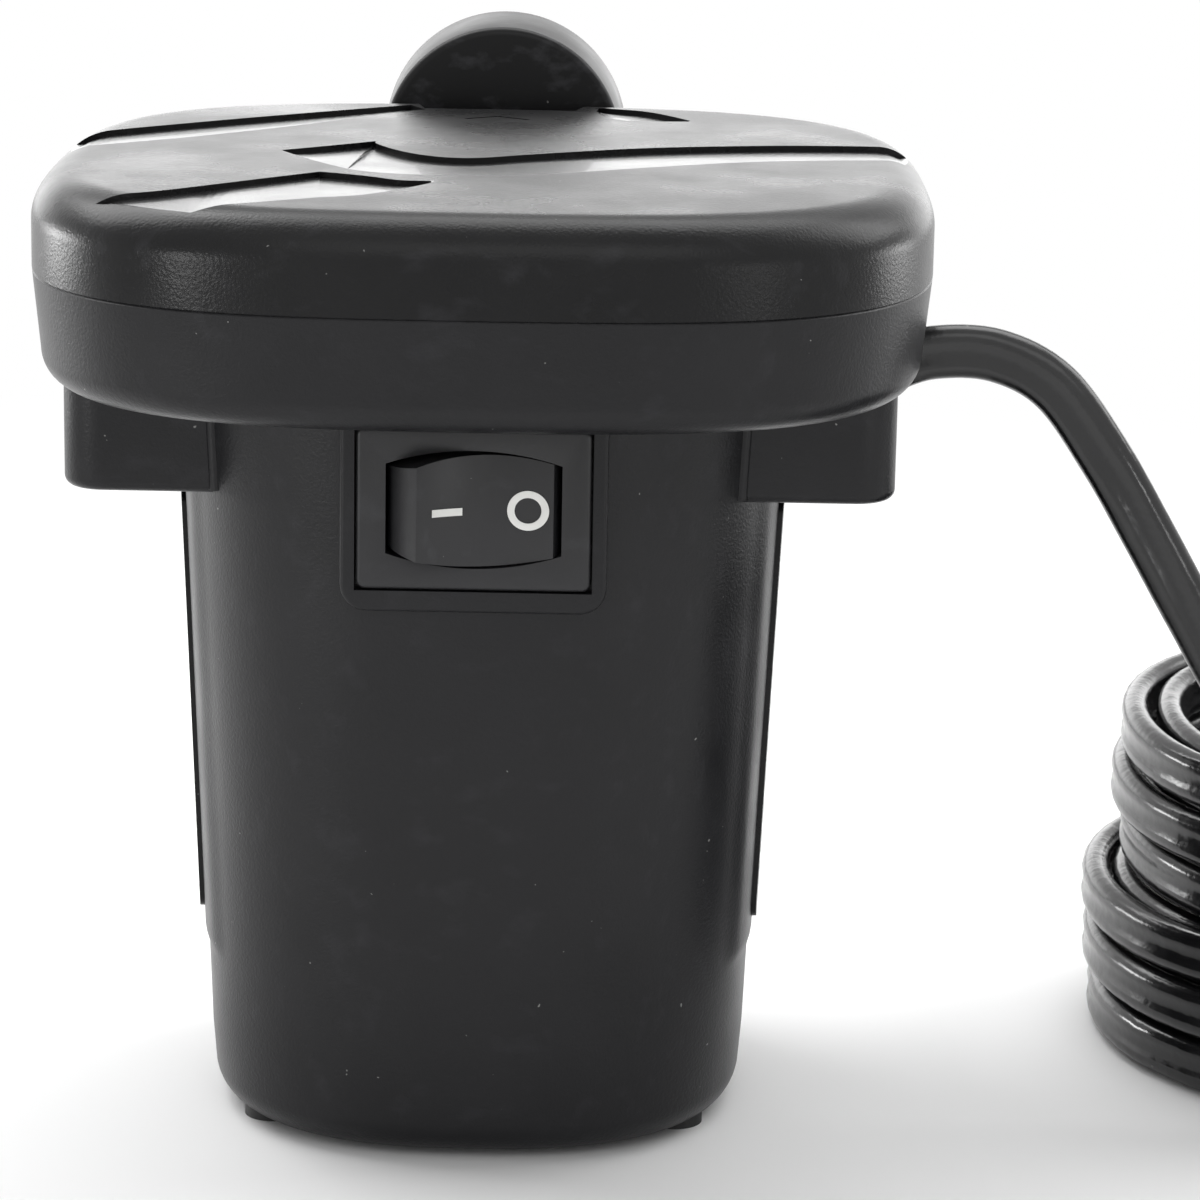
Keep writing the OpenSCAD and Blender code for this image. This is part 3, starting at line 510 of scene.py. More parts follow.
@dataclass(frozen=True)
class MouldedPlastic(Finish):
    """Moulded thermoplastic: the mould's spark-eroded grain gives it a fine satin bite."""

    colour: str
    cloudy: str              # the second tone of its slow unevenness
    worn_and_sheen: str                # where it has been rubbed, and on the collar also a painted sheen
    rough: tuple[float, float]
    grain: float             # width of a pit, in millimetres
    depth: float             # depth of the pits, in millimetres
    scuffs_and_sheen: float = 0.0      # share of the rubbed tone at its most; on the collar also a painted sheen
    dust: float = 0.0        # share of the dust specks
    ior: float = 1.49
    level: float = 0.5
    coat: float = 0.0

    def build(self, tree: bpy.types.NodeTree, shader: Node, place: bpy.types.NodeSocket) -> None:
        """Grain in the bump, slow clouds in colour and gloss, rubbed streaks and dust on top; on
        the collar the streaks are also a painted highlight.
        """
        clouds = cloud(tree, place, 14, 4)
        colour = mixed(tree, clouds, linear(self.colour), linear(self.cloudy))
        rough = between(tree, clouds, *self.rough)
        # Pale rubbed streaks: wear, and on the collar also a painted highlight
        if self.scuffs_and_sheen:
            slant = add_node(tree, "ShaderNodeMapping", links={
                "Vector": place, "Rotation": (0.5, 0.3, 0.7), "Scale": (1, 4, 1.6)})
            streaks = cloud(tree, slant.outputs["Vector"], 5, 6, 0.56, 0.78)
            faint = between(tree, streaks, 0, self.scuffs_and_sheen)
            colour = mixed(tree, faint, colour, linear(self.worn_and_sheen))
        if self.dust:
            specks = cloud(tree, place, 0.75, 1, 0.8, 0.82)
            colour = mixed(tree, between(tree, specks, 0, self.dust), colour, linear("#c9c9c6"))
        grain = cloud(tree, place, self.grain, 2, 0.3, 0.7)
        bump = add_node(tree, "ShaderNodeBump", links={
            "Height": grain, "Distance": self.depth * MM, "Strength": 1.0})
        feed(shader, {"Base Color": colour, "Roughness": rough, "Normal": bump.outputs["Normal"],
                      "IOR": self.ior, "Specular IOR Level": self.level, "Coat Weight": self.coat})


@dataclass(frozen=True)
class MetalPart(Finish):
    """A metal surface, plated or drawn, with fine lines from its making and a slow tarnish."""

    colour: str
    tarnish: str
    rough: tuple[float, float]
    line: float              # distance between its fine lines, in millimetres
    depth: float
    stretch: tuple[float, float, float] = (1, 1, 12)

    def build(self, tree: bpy.types.NodeTree, shader: Node, place: bpy.types.NodeSocket) -> None:
        """Lines in gloss and bump, clouds of tarnish in the colour."""
        clouds = cloud(tree, place, 6, 4)
        along = add_node(tree, "ShaderNodeMapping", links={"Vector": place, "Scale": self.stretch})
        lines = cloud(tree, along.outputs["Vector"], self.line, 2)
        colour = mixed(tree, clouds, linear(self.colour), linear(self.tarnish))
        bump = add_node(tree, "ShaderNodeBump", links={
            "Height": lines, "Distance": self.depth * MM, "Strength": 0.8})
        feed(shader, {"Base Color": colour, "Roughness": between(tree, lines, *self.rough),
                      "Normal": bump.outputs["Normal"], "Metallic": 1.0})


@dataclass(frozen=True)
class ClearPart(Finish):
    """Glass or clear tinted plastic."""

    colour: str
    rough: float
    ior: float
    see_through: float

    def build(self, tree: bpy.types.NodeTree, shader: Node, place: bpy.types.NodeSocket) -> None:
        """A clear body with faint draw lines in its gloss."""
        clouds = cloud(tree, place, 3, 2)
        colour = mixed(tree, clouds, linear(self.colour), linear("#ffffff"))
        faint = mixed(tree, 0.12, linear(self.colour), colour)
        feed(shader, {"Base Color": faint, "IOR": self.ior, "Transmission Weight": self.see_through,
                      "Roughness": between(tree, clouds, self.rough, self.rough + 0.04)})


# Black ABS from a spark-eroded mould: charcoal, satin, a fine bite that catches the light
SHELL_ABS = MouldedPlastic("black_abs_spark_eroded", "black_abs", "#151517", "#19191b", "#3c3c40",
                           (0.30, 0.38), 0.32, 0.015, scuffs_and_sheen=0.2, dust=0.35, level=0.27)
# The same ABS on the cover, rubbed a little smoother on top
COVER_ABS = MouldedPlastic("black_abs_cover", "black_abs", "#111112", "#151516", "#48484c",
                           (0.24, 0.32), 0.30, 0.013, scuffs_and_sheen=0.2, dust=0.35, level=0.22)
# The cover's ramps, polished in the mould between grained lands
RAMP_ABS = MouldedPlastic("black_abs_polished_ramp", "black_abs", "#111112", "#151516", "#48484c",
                          (0.20, 0.26), 0.30, 0.004, scuffs_and_sheen=0.1, dust=0.35, level=0.3, coat=0.12)
# Darker ABS of the small mouldings, from a polished mould, so it shines more
DARK_ABS = MouldedPlastic("dark_abs_polished", "dark_abs", "#0c0c0d", "#111112", "#38383b",
                          (0.22, 0.30), 0.5, 0.003, scuffs_and_sheen=0.2, dust=0.3, level=0.22)
# The collar's ABS, dulled and scuffed by the nozzles that are pushed on and off; its pale streaks
# are partly wear and partly a painted highlight
COLLAR_ABS_WEAR_AND_PAINTED_SHEEN = MouldedPlastic("dark_abs_handled_painted_sheen", "dark_abs", "#0c0c0d", "#131314", "#66666a",
                            (0.31, 0.42), 0.5, 0.004, scuffs_and_sheen=0.4, dust=0.3, level=0.2)
# Nylon 66 of the rocker switch: black, with a dull even sheen
SWITCH_NYLON = MouldedPlastic("switch_nylon_66", "switch_nylon", "#212122", "#262628", "#55555a",
                              (0.34, 0.44), 0.28, 0.006, scuffs_and_sheen=0.2, dust=0.3, ior=1.53, level=0.35)
# Pad-printed white ink, slightly chalky
WHITE_INK = MouldedPlastic("white_pad_print", "white_print", "#dcdcd8", "#ebebe8", "#a9a9a4",
                           (0.45, 0.55), 0.2, 0.002, scuffs_and_sheen=0.3)
# Moulded nitrile rubber: black with no gloss
RUBBER = MouldedPlastic("nitrile_rubber", "black_rubber", "#0f0f10", "#161616", "#3d3d3b",
                        (0.62, 0.75), 0.4, 0.01, scuffs_and_sheen=0.4, dust=0.5, ior=1.52)
# Extruded soft PVC of the cord: black and glossy, its skin slightly uneven along its length
CORD_PVC = MouldedPlastic("cord_pvc_glossy", "pvc_cord", "#0d0d0e", "#131314", "#3a3a3c",
                          (0.16, 0.26), 1.6, 0.02, scuffs_and_sheen=0.15, dust=0.4, ior=1.53)
# Hard plastic of the plug, polished
PLUG_HARD = MouldedPlastic("plug_polycarbonate", "plug_plastic", "#101011", "#161617", "#4c4c50",
                           (0.2, 0.3), 0.6, 0.004, scuffs_and_sheen=0.35, dust=0.4, ior=1.58)
# White glass-filled nylon of the impeller: milky, with flow marks
IMPELLER_NYLON = MouldedPlastic("impeller_glass_nylon", "impeller_nylon", "#d6d5cf", "#e2e1dc",
                                "#b4b2aa", (0.38, 0.5), 0.5, 0.01, scuffs_and_sheen=0.4, ior=1.53)
# PVC sleeve of the inner wires
WIRE_PVC = MouldedPlastic("wire_pvc_red", "wire_red", "#8e1414", "#a01a1a", "#5c0d0d",
                          (0.3, 0.4), 1.0, 0.01, scuffs_and_sheen=0.3, ior=1.53)
# Epoxy-dipped ceramic disc
CERAMIC_DISC = MouldedPlastic("capacitor_epoxy_blue", "capacitor_blue", "#24559c", "#2a61ad",
                              "#1a4078", (0.25, 0.35), 0.8, 0.01, scuffs_and_sheen=0.3)
# Sintered ferrite of the motor's magnets: grey and granular
FERRITE = MouldedPlastic("sintered_ferrite", "ferrite", "#34363a", "#3d4045", "#5a5d62",
                         (0.5, 0.65), 0.3, 0.02, scuffs_and_sheen=0.3, ior=1.8)
# Pressed carbon of the brushes
CARBON = MouldedPlastic("brush_carbon", "carbon", "#1b1b1c", "#262628", "#4a4a4e",
                        (0.4, 0.55), 0.2, 0.01, scuffs_and_sheen=0.5, ior=1.7)
# Bright zinc on steel: screws and springs, with fine threads of wear
ZINC = MetalPart("bright_zinc_steel", "zinc_steel", "#c4c6c8", "#9fa2a6", (0.22, 0.38), 0.25, 0.004)
# Nickel-plated drawn steel: the motor's can and shaft
NICKEL = MetalPart("nickel_plated_steel", "motor_steel", "#bcbab4", "#a3a19b", (0.18, 0.32),
                   0.3, 0.003)
# Enamelled copper wire and the commutator
COPPER = MetalPart("enamelled_copper", "copper", "#c06a35", "#93481f", (0.25, 0.4), 0.35, 0.02,
                   (1, 1, 3))
# Cartridge brass: terminals, bushes and the plug's tip
BRASS = MetalPart("cartridge_brass", "brass", "#cda85a", "#a8823c", (0.2, 0.36), 0.3, 0.004)
# Drawn soda glass of the fuse's tube
FUSE_GLASS = ClearPart("fuse_soda_glass", "fuse_glass", "#eef3f1", 0.03, 1.52, 0.9)
# Red tinted acrylic of the plug's lamp
LAMP_ACRYLIC = ClearPart("lamp_red_acrylic", "lamp_red", "#c41212", 0.08, 1.49, 0.5)


# ------------------------------------------------------------------ studio


def stood(name: str, data: bpy.types.ID, axes: Sequence[Array], place: Sequence[float]) -> Piece:
    """Adds a camera or a lamp at a place, turned to its right, up and backward axes."""
    thing = bpy.data.objects.new(name, data)
    bpy.context.scene.collection.objects.link(thing)
    thing.matrix_world = Matrix([[*(axis[i] for axis in axes), place[i]] for i in range(3)]
                                + [[0, 0, 0, 1]])
    return thing


@dataclass
class Studio:
    """The camera, the light and the pale floor. Lengths in metres, angles in degrees."""

    eye: tuple[float, float, float] = (0.0143, -0.4276, 0.14965)
    turn: float = 0.387
    dip: float = 13.43
    roll: float = 1.0
    lens: float = 132.0
    floor_colour: str = "#fcfcfc"
    world_level: float = 0.42
    white_from: tuple[float, float] = (0.12, 0.36)

    def camera(self) -> None:
        """Places the camera by its eye, its turn about Z, its dip below level and its roll."""
        az, dip, roll = (math.radians(v) for v in (self.turn, self.dip, self.roll))
        ahead = np.array([-math.sin(az) * math.cos(dip), math.cos(az) * math.cos(dip),
                          -math.sin(dip)])
        level = np.array([math.cos(az), math.sin(az), 0.0])
        top = np.cross(level, ahead)
        right = math.cos(roll) * level + math.sin(roll) * top
        up = -math.sin(roll) * level + math.cos(roll) * top
        data = bpy.data.cameras.new("camera")
        data.lens, data.sensor_width = self.lens, 36.0
        data.clip_start, data.clip_end = 0.01, 50.0
        bpy.context.scene.camera = stood("camera", data, (right, up, -ahead), self.eye)

    def lamp(self, name: str, place: Sequence[float], height: float, size: tuple[float, float],
             power: float) -> None:
        """Adds one soft rectangular lamp.

        Args:
            name: the lamp's name.
            place: where it stands, in metres.
            height: the height above the origin that it faces, in metres.
            size: its width and height in metres.
            power: its power in watts.
        """
        data = bpy.data.lights.new(name, "AREA")
        data.shape, data.size, data.size_y, data.energy = "RECTANGLE", *size, power
        back = unit(np.asarray(place, float) - [0, 0, height])
        side = unit(np.cross([0, 0, 1.0], back))
        stood(name, data, (side, np.cross(back, side), back), place).visible_camera = False

    def white_for_eye(self, tree: bpy.types.NodeTree) -> bpy.types.NodeSocket:
        """Returns 1 for camera, glossy and transmission rays and 0 for the rest."""
        rays = add_node(tree, "ShaderNodeLightPath").outputs
        seen = rays["Is Camera Ray"]
        for ray in ("Is Glossy Ray", "Is Transmission Ray"):
            seen = add_node(tree, "ShaderNodeMath", {"operation": "MAXIMUM"},
                            {0: seen, 1: rays[ray]}).outputs[0]
        return seen

    def world(self) -> None:
        """A white backdrop for the eye and for gloss, and a softer light on everything else."""
        world = bpy.data.worlds.new("soft_white_room")
        world.use_nodes = True
        tree = world.node_tree
        tree.nodes.clear()
        level = between(tree, self.white_for_eye(tree), self.world_level, 1.0)
        sky = add_node(tree, "ShaderNodeBackground", links={
            "Color": (1, 1, 1, 1), "Strength": level})
        add_node(tree, "ShaderNodeOutputWorld", links={"Surface": sky.outputs["Background"]})
        bpy.context.scene.world = world

    def floor(self) -> None:
        """A wide plain sheet at height 0."""
        half = 3000.0            # millimetres
        corners = np.array([[-1.0, -1, 0], [1, -1, 0], [1, 1, 0], [-1, 1, 0]]) * half
        piece = new_piece("studio_floor", Skin(corners, [[0, 1, 2, 3]]))
        paper = bpy.data.materials.new("pale_paper")
        paper.use_nodes = True
        tree = paper.node_tree
        shader = tree.nodes["Principled BSDF"]
        feed(shader, {"Base Color": linear(self.floor_colour), "Roughness": 0.9,
                      "Specular IOR Level": 0.1})
        # Away from the object the sheet fades into the white backdrop, so its edge can't be seen
        place = add_node(tree, "ShaderNodeTexCoord").outputs["Object"]
        away = add_node(tree, "ShaderNodeVectorMath", {"operation": "LENGTH"}, {0: place})
        near, far = self.white_from
        fade = add_node(
            tree, "ShaderNodeMapRange", {"clamp": True, "interpolation_type": "SMOOTHSTEP"},
            {"Value": away.outputs["Value"], "From Min": near, "From Max": far})
        share = add_node(tree, "ShaderNodeMath", {"operation": "MULTIPLY"},
                         {0: fade.outputs["Result"], 1: self.white_for_eye(tree)})
        glow = add_node(tree, "ShaderNodeEmission", links={"Color": (1, 1, 1, 1), "Strength": 1.0})
        blend = add_node(tree, "ShaderNodeMixShader", links={
            0: share.outputs[0], 1: shader.outputs["BSDF"], 2: glow.outputs["Emission"]})
        tree.links.new(blend.outputs["Shader"], tree.nodes["Material Output"].inputs["Surface"])
        piece.data.materials.append(paper)

    def build(self) -> None:
        """Makes the camera, the room and the lamps."""
        bpy.context.scene.view_settings.view_transform = "Standard"
        self.camera()
        self.world()
        self.floor()
        for name, place, height, size, power in (
                ("key_softbox", (-0.55, 0.35, 0.75), 0.06, (0.6, 0.6), 5.0),
                ("fill_softbox", (0.65, 0.30, 0.60), 0.06, (0.5, 0.6), 3.0),
                ("top_softbox", (0.0, 0.35, 0.95), 0.06, (0.9, 0.6), 5.5),
                ("front_softbox", (0.1, -0.9, 0.8), 0.06, (0.9, 0.5), 1.3),
                ("horizon_softbox", (0.0, 0.95, 0.17), 0.09, (1.5, 0.30), 2.1),
                ("left_side_softbox", (-0.60, 0.32, 0.05), 0.04, (0.30, 0.10), 1.2),
                ("right_side_softbox", (0.60, 0.32, 0.05), 0.04, (0.30, 0.10), 0.6),
                ("left_strip", (-0.64, -0.60, 0.065), 0.08, (0.20, 0.10), 1.0),
                ("right_strip", (0.60, -0.66, 0.065), 0.08, (0.20, 0.10), 0.35)):
            self.lamp(name, place, height, size, power)


# ------------------------------------------------------------ cord and plug


@dataclass
class CordAndPlug:
    """The flat twin cord from the head to the car plug, coiled and tied. Lengths in millimetres."""

    width: float = 5.2
    core: float = 1.4            # radius of each of its two round cores
    web: float = 1.2             # half thickness of the web between them
    lead: tuple[tuple[float, float, float], ...] = (
        (28.1, -12, 72), (30.5, -12, 72), (34, -12, 72.45), (38.5, -12, 73.95), (43, -12, 75.4),
        (49, -12.5, 75.3), (54.6, -14, 72.6), (59.6, -15, 66), (63.8, -15, 59), (68.7, -15, 50.5),
        (74, -16, 42), (82, -18, 35), (93, -19.7, 31.5))
    tail: tuple[tuple[float, float, float], ...] = (
        (125.7, 13, 3), (126.4, 24, 4), (127.4, 34, 7), (128, 44, 11.2), (128, 51.85, 11.5))
    coil_at: tuple[float, float] = (93, 13)
    outer: float = 32.7
    inner: float = 29.3
    layers: int = 6
    pitch: float = 5.7
    lowest: float = 2.95
    pressed: tuple[float, ...] = (7.0, 6.2, 7.0, 3.2, 3.9, 4.6)
    length: float = 2.5          # metres
    plug_at: tuple[float, float, float] = (128, 52, 11.5)
    handle_at: float = 10.0      # distance of the handle's end behind that point
    handle_r: float = 11.5
    handle_len: float = 40.0
    nose_r: float = 10.2
    nose_len: float = 34.0

    def section(self) -> Array:
        """Returns two round cores joined by a thin web, its width along the second axis."""
        meet = math.degrees(math.asin(self.web / self.core))
        middle = self.width / 2 - self.core
        a = np.radians(np.linspace(-180 + meet, 180 - meet, 14))
        right = np.stack([middle + self.core * np.cos(a), self.core * np.sin(a)], -1)
        loop = np.concatenate([right, -right])
        return loop[:, ::-1]

    def coil(self) -> Array:
        """Returns the coil's line.

        The line turns about the coil's middle, at angle a from -90 degrees. Every turn lies in the
        outer or the inner column, and every second turn drops by a layer; both changes are an
        S-curve over a sixth of a turn.
        """
        turns = 2 * self.layers + 0.25
        t = np.linspace(0, turns, int(turns * 48) + 1)
        number = np.floor(t + 1e-9).clip(0, 2 * self.layers - 1)
        ease = eased(np.clip((t - number) / 0.17, 0, 1))
        # Columns run outer, inner, inner, outer and so on, and a layer drops after each pair
        column = np.isin(np.mod(number, 4), (1, 2)).astype(float)
        before = np.isin(np.mod(number - 1, 4), (1, 2)).astype(float)
        column = np.where(number > 0, before + (column - before) * ease, column)
        layer = np.floor(number / 2)
        above = np.floor((number - 1) / 2).clip(0)
        layer = np.where(number > 0, above + (layer - above) * ease, layer)
        a = np.radians(-90 + 360 * t)
        # The side that faces the head is pressed in, and the upper turns more than the lower
        pressed = np.interp(layer, range(self.layers), self.pressed) * np.clip(t / 0.5, 0, 1)
        near = ((1 - np.cos(a)) / 2) ** 3
        free = (t > 0.4) & (t < turns - 0.4)
        loose = 0.45 * np.sin(number * 2.4 + 1) * np.sin(a / 2 - np.pi / 4) ** 2 * free
        r = self.outer - (self.outer - self.inner) * column + loose - pressed * near
        z = self.lowest + self.pitch * (self.layers - 1 - layer)
        z = z + 0.25 * (1 - np.cos(a + np.pi / 2)) * (layer < self.layers - 1)
        return np.stack([self.coil_at[0] + r * np.cos(a), self.coil_at[1] + r * np.sin(a), z], -1)

    def build(self) -> Piece:
        """Makes the cord, its tie and the plug's pieces.

        Returns:
            The cord.
        """
        path = np.concatenate([smooth_path(self.lead, 8)[:-1], self.coil(),
                               smooth_path(self.tail, 8)[1:]])
        cord = new_piece("flat_cord", swept(path, self.section()))
        finished(cord, CORD_PVC, replaces=["cord_lead", "cord_coil", "cord_tail"], angle=60)
        tie = self.tie()
        plug = dressed({"plug_end_ring": ZINC, "plug_tip": BRASS, "plug_side_contacts": ZINC,
                        "plug_sleeve": RUBBER, "plug_lamp": LAMP_ACRYLIC, "plug_fuse": FUSE_GLASS})
        plug += [self.handle(), self.nose(), self.spring(), tie]
        return cord

    def tie(self) -> Piece:
        """A strap round the bundle on the coil's far side: a rounded rectangle swept round it."""
        top = self.lowest + self.pitch * (self.layers - 1) + self.width / 2 + 0.8
        outline = rounded_rectangle((self.outer - self.inner) / 2 + 2.3, top / 2, 2.0)
        across = math.radians(20)
        out = np.array([math.cos(across), math.sin(across), 0.0])
        middle = np.array([*self.coil_at, top / 2 + 0.5]) + out * (self.outer + self.inner) / 2
        path = middle + outline[:, :1] * out + outline[:, 1:] * np.array([0, 0, 1.0])
        along = np.array([-out[1], out[0], 0.0])
        section = rounded_rectangle(0.45, 3.0, 0.4, 3)
        return finished(new_piece("cord_tie", swept(path, section, along, ring=True)), RUBBER)

    def along_plug(self, skin: Skin, start: float) -> Skin:
        """Returns a skin made along +Z, laid along the plug's axis from a distance behind it."""
        x, y, z = self.plug_at
        return skin.placed(TO_BACK, (x, y + start, z))

    def handle(self) -> Piece:
        """The plug's handle: a lathe profile with five grip grooves, hollow inside."""
        r, length = self.handle_r, self.handle_len
        grooves = [(r + d, 18 + 3 * k + s) for k in range(5)
                   for d, s in ((-0.45, -0.2), (-1.1, 0.1), (-1.1, 1.1), (-0.4, 1.4))]
        profile = [(0, 0), (6.5, 0), (7, 0.5), (8.5, 2), (9.3, 7), (r - 1.5, 14), (r - 0.9, 17)]
        profile += grooves + [(r, 33), (r, length - 1)] + arc((r - 1, length - 1), 1, 1, 30, 90, 3)
        profile += [(0, length)]
        inner = self.nose_r - 2.2
        start = self.handle_at
        handle = new_piece("plug_grip", self.along_plug(turned(profile), start))
        x, y, z = self.plug_at
        # The hollow, the fuse's room, the cord's hole and the lamp's
        cuts = [cylinder(6, 2, 12), cylinder(inner, 11, length + 5), cylinder(3.6, -1, 4)]
        cuts = [self.along_plug(cut, start) for cut in cuts]
        cuts.append(cylinder(1.5, -1, 5).shifted(x, y + 44.5, 2 * z - 4))
        shape(handle, Cut.REMOVE, cuts)
        return finished(handle, PLUG_HARD, replaces=["plug_handle"])

    def nose(self) -> Piece:
        """The plug's nose: a tube with two slots for the side contacts."""
        start, length = self.handle_at + self.handle_len, self.nose_len
        tube = cylinder(self.nose_r, 0, length, 0.4)
        nose = new_piece("plug_barrel", self.along_plug(tube, start))
        cuts = [cylinder(self.nose_r - 1.6, -1, length + 1)]
        cuts += [block((low, -2.6, 8), (low + 20, 2.6, 24), edge=0.3) for low in (-25, 5)]
        shape(nose, Cut.REMOVE, [self.along_plug(cut, start) for cut in cuts])
        return finished(nose, PLUG_HARD, replaces=["plug_nose"])

    def spring(self) -> Piece:
        """The spring behind the fuse: a wire of 0.6 mm on a helix of eleven turns."""
        low, high, r, turns = 21.5, 65.0, 3.65, 11
        t = np.linspace(0, 1, 260)
        a = TAU * turns * t
        x, y, z = self.plug_at
        path = np.stack([x + r * np.cos(a), y + low + (high - low) * t, z + r * np.sin(a)], -1)
        return finished(new_piece("fuse_spring", swept(path, squircle(0.3, 2, 8), (0, 1, 0))), ZINC,
                        replaces=["plug_spring"], angle=70)


# -------------------------------------------------------------------- body


@dataclass
class Housing:
    """The tapered motor body with its two ears, its grilles, feet and screws."""

    middle: float = -7.0         # where the body's middle stands along Y
    half: float = 29.0
    draft: float = 2.9
    top: float = 73.5
    height: float = 73.0
    foot: float = 0.5
    wall: float = 2.0
    bottom_r: float = 3.5
    power: float = 2.5
    ear_out: float = 39.2
    ear_in: float = 15.0
    ear_half: float = 18.0
    ear_h: float = 10.5
    screw: tuple[float, float] = (35.2, 14.0)
    screw_r: float = 1.5
    land_half: float = 12.25
    land_y: float = -35.9
    land_drop: float = 18.9
    bezel: tuple[float, float] = (21.6, 15.2)
    switch: tuple[float, float] = (19.0, 13.0)
    switch_z: float = 64.3
    grille_z: tuple[float, float] = (18.6, 61.3)
    grille_half: float = 6.5
    proud: float = 0.8
    pad_half: float = 13.5
    pad_proud: float = 0.35
    pad_low: float = 16.1
    louvres: int = 10
    pitch: float = 3.4
    cord_y: float = -12.0
    feet_at: tuple[float, float] = (19.6, 12.6)
    foot_r: float = 2.84

    def half_at(self, z: float) -> float:
        """Returns the body's half width at a height: it narrows evenly towards its base."""
        return self.half - self.draft * (self.top - z) / self.height

    def skin(self, grow: float, low: float, high: float) -> Skin:
        """Returns the body's own outline, grown, between two heights."""
        side = [(self.half_at(z) + grow, z) for z in (low, high)]
        return turned([(0, low), *side, (0, high)], self.power, 240).shifted(y=self.middle)

    def outside(self) -> Skin:
        """Returns the body's outer skin, its bottom edge rounded."""
        low, r = self.half_at(self.foot), self.bottom_r
        edge = arc((low - r, self.foot + r), r, r, -90, 0, 10)
        levels = np.concatenate([np.linspace(self.foot + r, 14.5, 4)[1:], np.linspace(15, 19, 9),
                                 np.linspace(24, self.top, 10)])
        rise = [(self.half_at(z), float(z)) for z in levels]
        skin = turned([(0, self.foot)] + edge + rise + [(0, self.top)], self.power, 240)
        # The sides swell by the pad's height between its soft edges
        x, y, z = skin.points.T
        beside = eased(np.clip((self.pad_half + 1.5 - np.abs(y)) / 3, 0, 1))
        above = eased(np.clip((z - self.pad_low + 0.6) / 2, 0, 1))
        swell = self.pad_proud * beside * above
        points = np.column_stack([x + np.sign(x) * swell * (np.abs(x) > 15), y, z])
        return Skin(points, skin.faces).shifted(y=self.middle)

    def ear(self) -> Skin:
        """Returns the ear on the right, its lower edges rounded."""
        half = (self.ear_out - self.ear_in) / 2
        skin = prism(lambda i: rounded_rectangle(half - i, self.ear_half - i, 4.0 - i, 12),
                     self.top - self.ear_h, self.top, 1.0, 0.0, 6)
        return skin.shifted(self.ear_in + half, self.middle)

    def land(self) -> Skin:
        """Returns the flat raised land round the switch, its front edges rounded."""
        drop = self.land_drop
        skin = prism(lambda i: rounded_rectangle(self.land_half - i, (drop + 6) / 2 - i,
                                                 max(2.5 - i, 0.3), 8), -8.0, 0.0, 0.0, 0.45, 4)
        return skin.placed(TO_FRONT, (0, self.land_y, self.top - drop / 2 + 3))

    def side_block(self, half: float, low: float, high: float, radius: float) -> Skin:
        """Returns a rounded rectangle on the right side, carried outwards from X 15."""
        skin = prism(lambda i: rounded_rectangle(half, (high - low) / 2, radius, 8), 0, 25)
        turn = np.array([[0.0, 0, 1], [1, 0, 0], [0, 1, 0]])
        return skin.placed(turn, (15, self.middle, (low + high) / 2))

    def grille_block(self, grow: float) -> Skin:
        """Returns the block of the right grille's outline, grown."""
        low, high = self.grille_z
        return self.side_block(self.grille_half + grow, low - grow, high + grow, 2 + grow)

    def ear_root(self) -> Skin:
        """Returns the small bead of plastic where the right ear's front meets the body."""
        ends = []
        for z in (self.top - self.ear_h + 0.4, self.top - 0.1):
            half, y = self.half_at(z), self.ear_half
            x = half * (1 - (y / half) ** self.power) ** (1 / self.power)
            ends.append((x - 0.15, self.middle - y + 0.35, z))
        return swept(np.array(ends), squircle(0.8, 2, 32), (1, 0, 0))

    def screws(self, skin: Skin) -> list[Skin]:
        """Returns a skin at each of the four ear screws."""
        x, y = self.screw
        return [skin.shifted(i * x, self.middle + j * y) for i in (-1, 1) for j in (-1, 1)]

    def cradle(self) -> list[Skin]:
        """Returns the motor's round seat: a ring at its foot and top, and four posts between."""
        inner, outer, low, high = 15.2, 16.7, 2.49, 36.5
        sill, lintel = 5.5, 29.5
        parts = [turned([(inner, a), (outer, a), (outer, b), (inner, b), (inner, a)], 2, 96)
                 for a, b in ((low, sill), (lintel, high))]
        half = math.degrees(math.asin(5 / (inner + 0.75)))
        for k in range(4):
            angles = np.radians(np.linspace(90 * k + 45 + half, 90 * k + 135 - half, 12))
            edge = band(inner, outer, angles)
            parts.append(prism(lambda i, e=edge: e, sill - 0.01, lintel + 0.01))
        return [part.shifted(y=-1) for part in parts]

    def build(self) -> None:
        """Makes the housing and dresses the pieces that go with it."""
        body = new_piece("motor_housing", self.outside())
        side = [self.ear(), self.ear_root()]
        shape(body, Cut.JOIN, side + [s.mirrored() for s in side] + [self.land()])
        # The hollow, all above the top, the grilles' openings, and the grommet's neck and flange
        top, cord = self.top, self.cord_y
        cuts = [self.skin(-self.wall, self.foot + self.wall, top + 1),
                block((-60, -60, top), (60, 60, top + 20)),
                self.grille_block(0.1), self.grille_block(0.1).mirrored(),
                block((23.1, cord - 1.5, 69.2), (52.5, cord + 1.5, top + 1)),
                block((29.6, cord - 4.1, top - 7.6), (34.6, cord + 4.1, top + 1))]
        # The seats of the switch's bezel and case
        for (w, h), before, behind in ((self.bezel, 1, 1.6), (self.switch, 0, 8)):
            cuts.append(block((-w / 2 - 0.1, self.land_y - before, self.switch_z - h / 2 - 0.1),
                              (w / 2 + 0.1, self.land_y + behind, self.switch_z + h / 2 + 0.1)))
        low = top - self.ear_h
        cuts += self.screws(cylinder(self.screw_r + 1.3, low - 1, low + 5.5))
        cuts += self.screws(cylinder(self.screw_r + 0.1, low, top + 1))
        foot_x, foot_y = self.feet_at
        cuts += [cylinder(self.foot_r, 0, 1.5).shifted(i * foot_x, self.middle + j * foot_y)
                 for i in (-1, 1) for j in (-1, 1)]
        shape(body, Cut.REMOVE, cuts)
        shape(body, Cut.JOIN, self.cradle())
        finished(body, SHELL_ABS, replaces=["body_housing"])
        self.grilles()
        dressed({"rubber_feet": RUBBER, "housing_screws": ZINC, "cord_grommet": RUBBER})

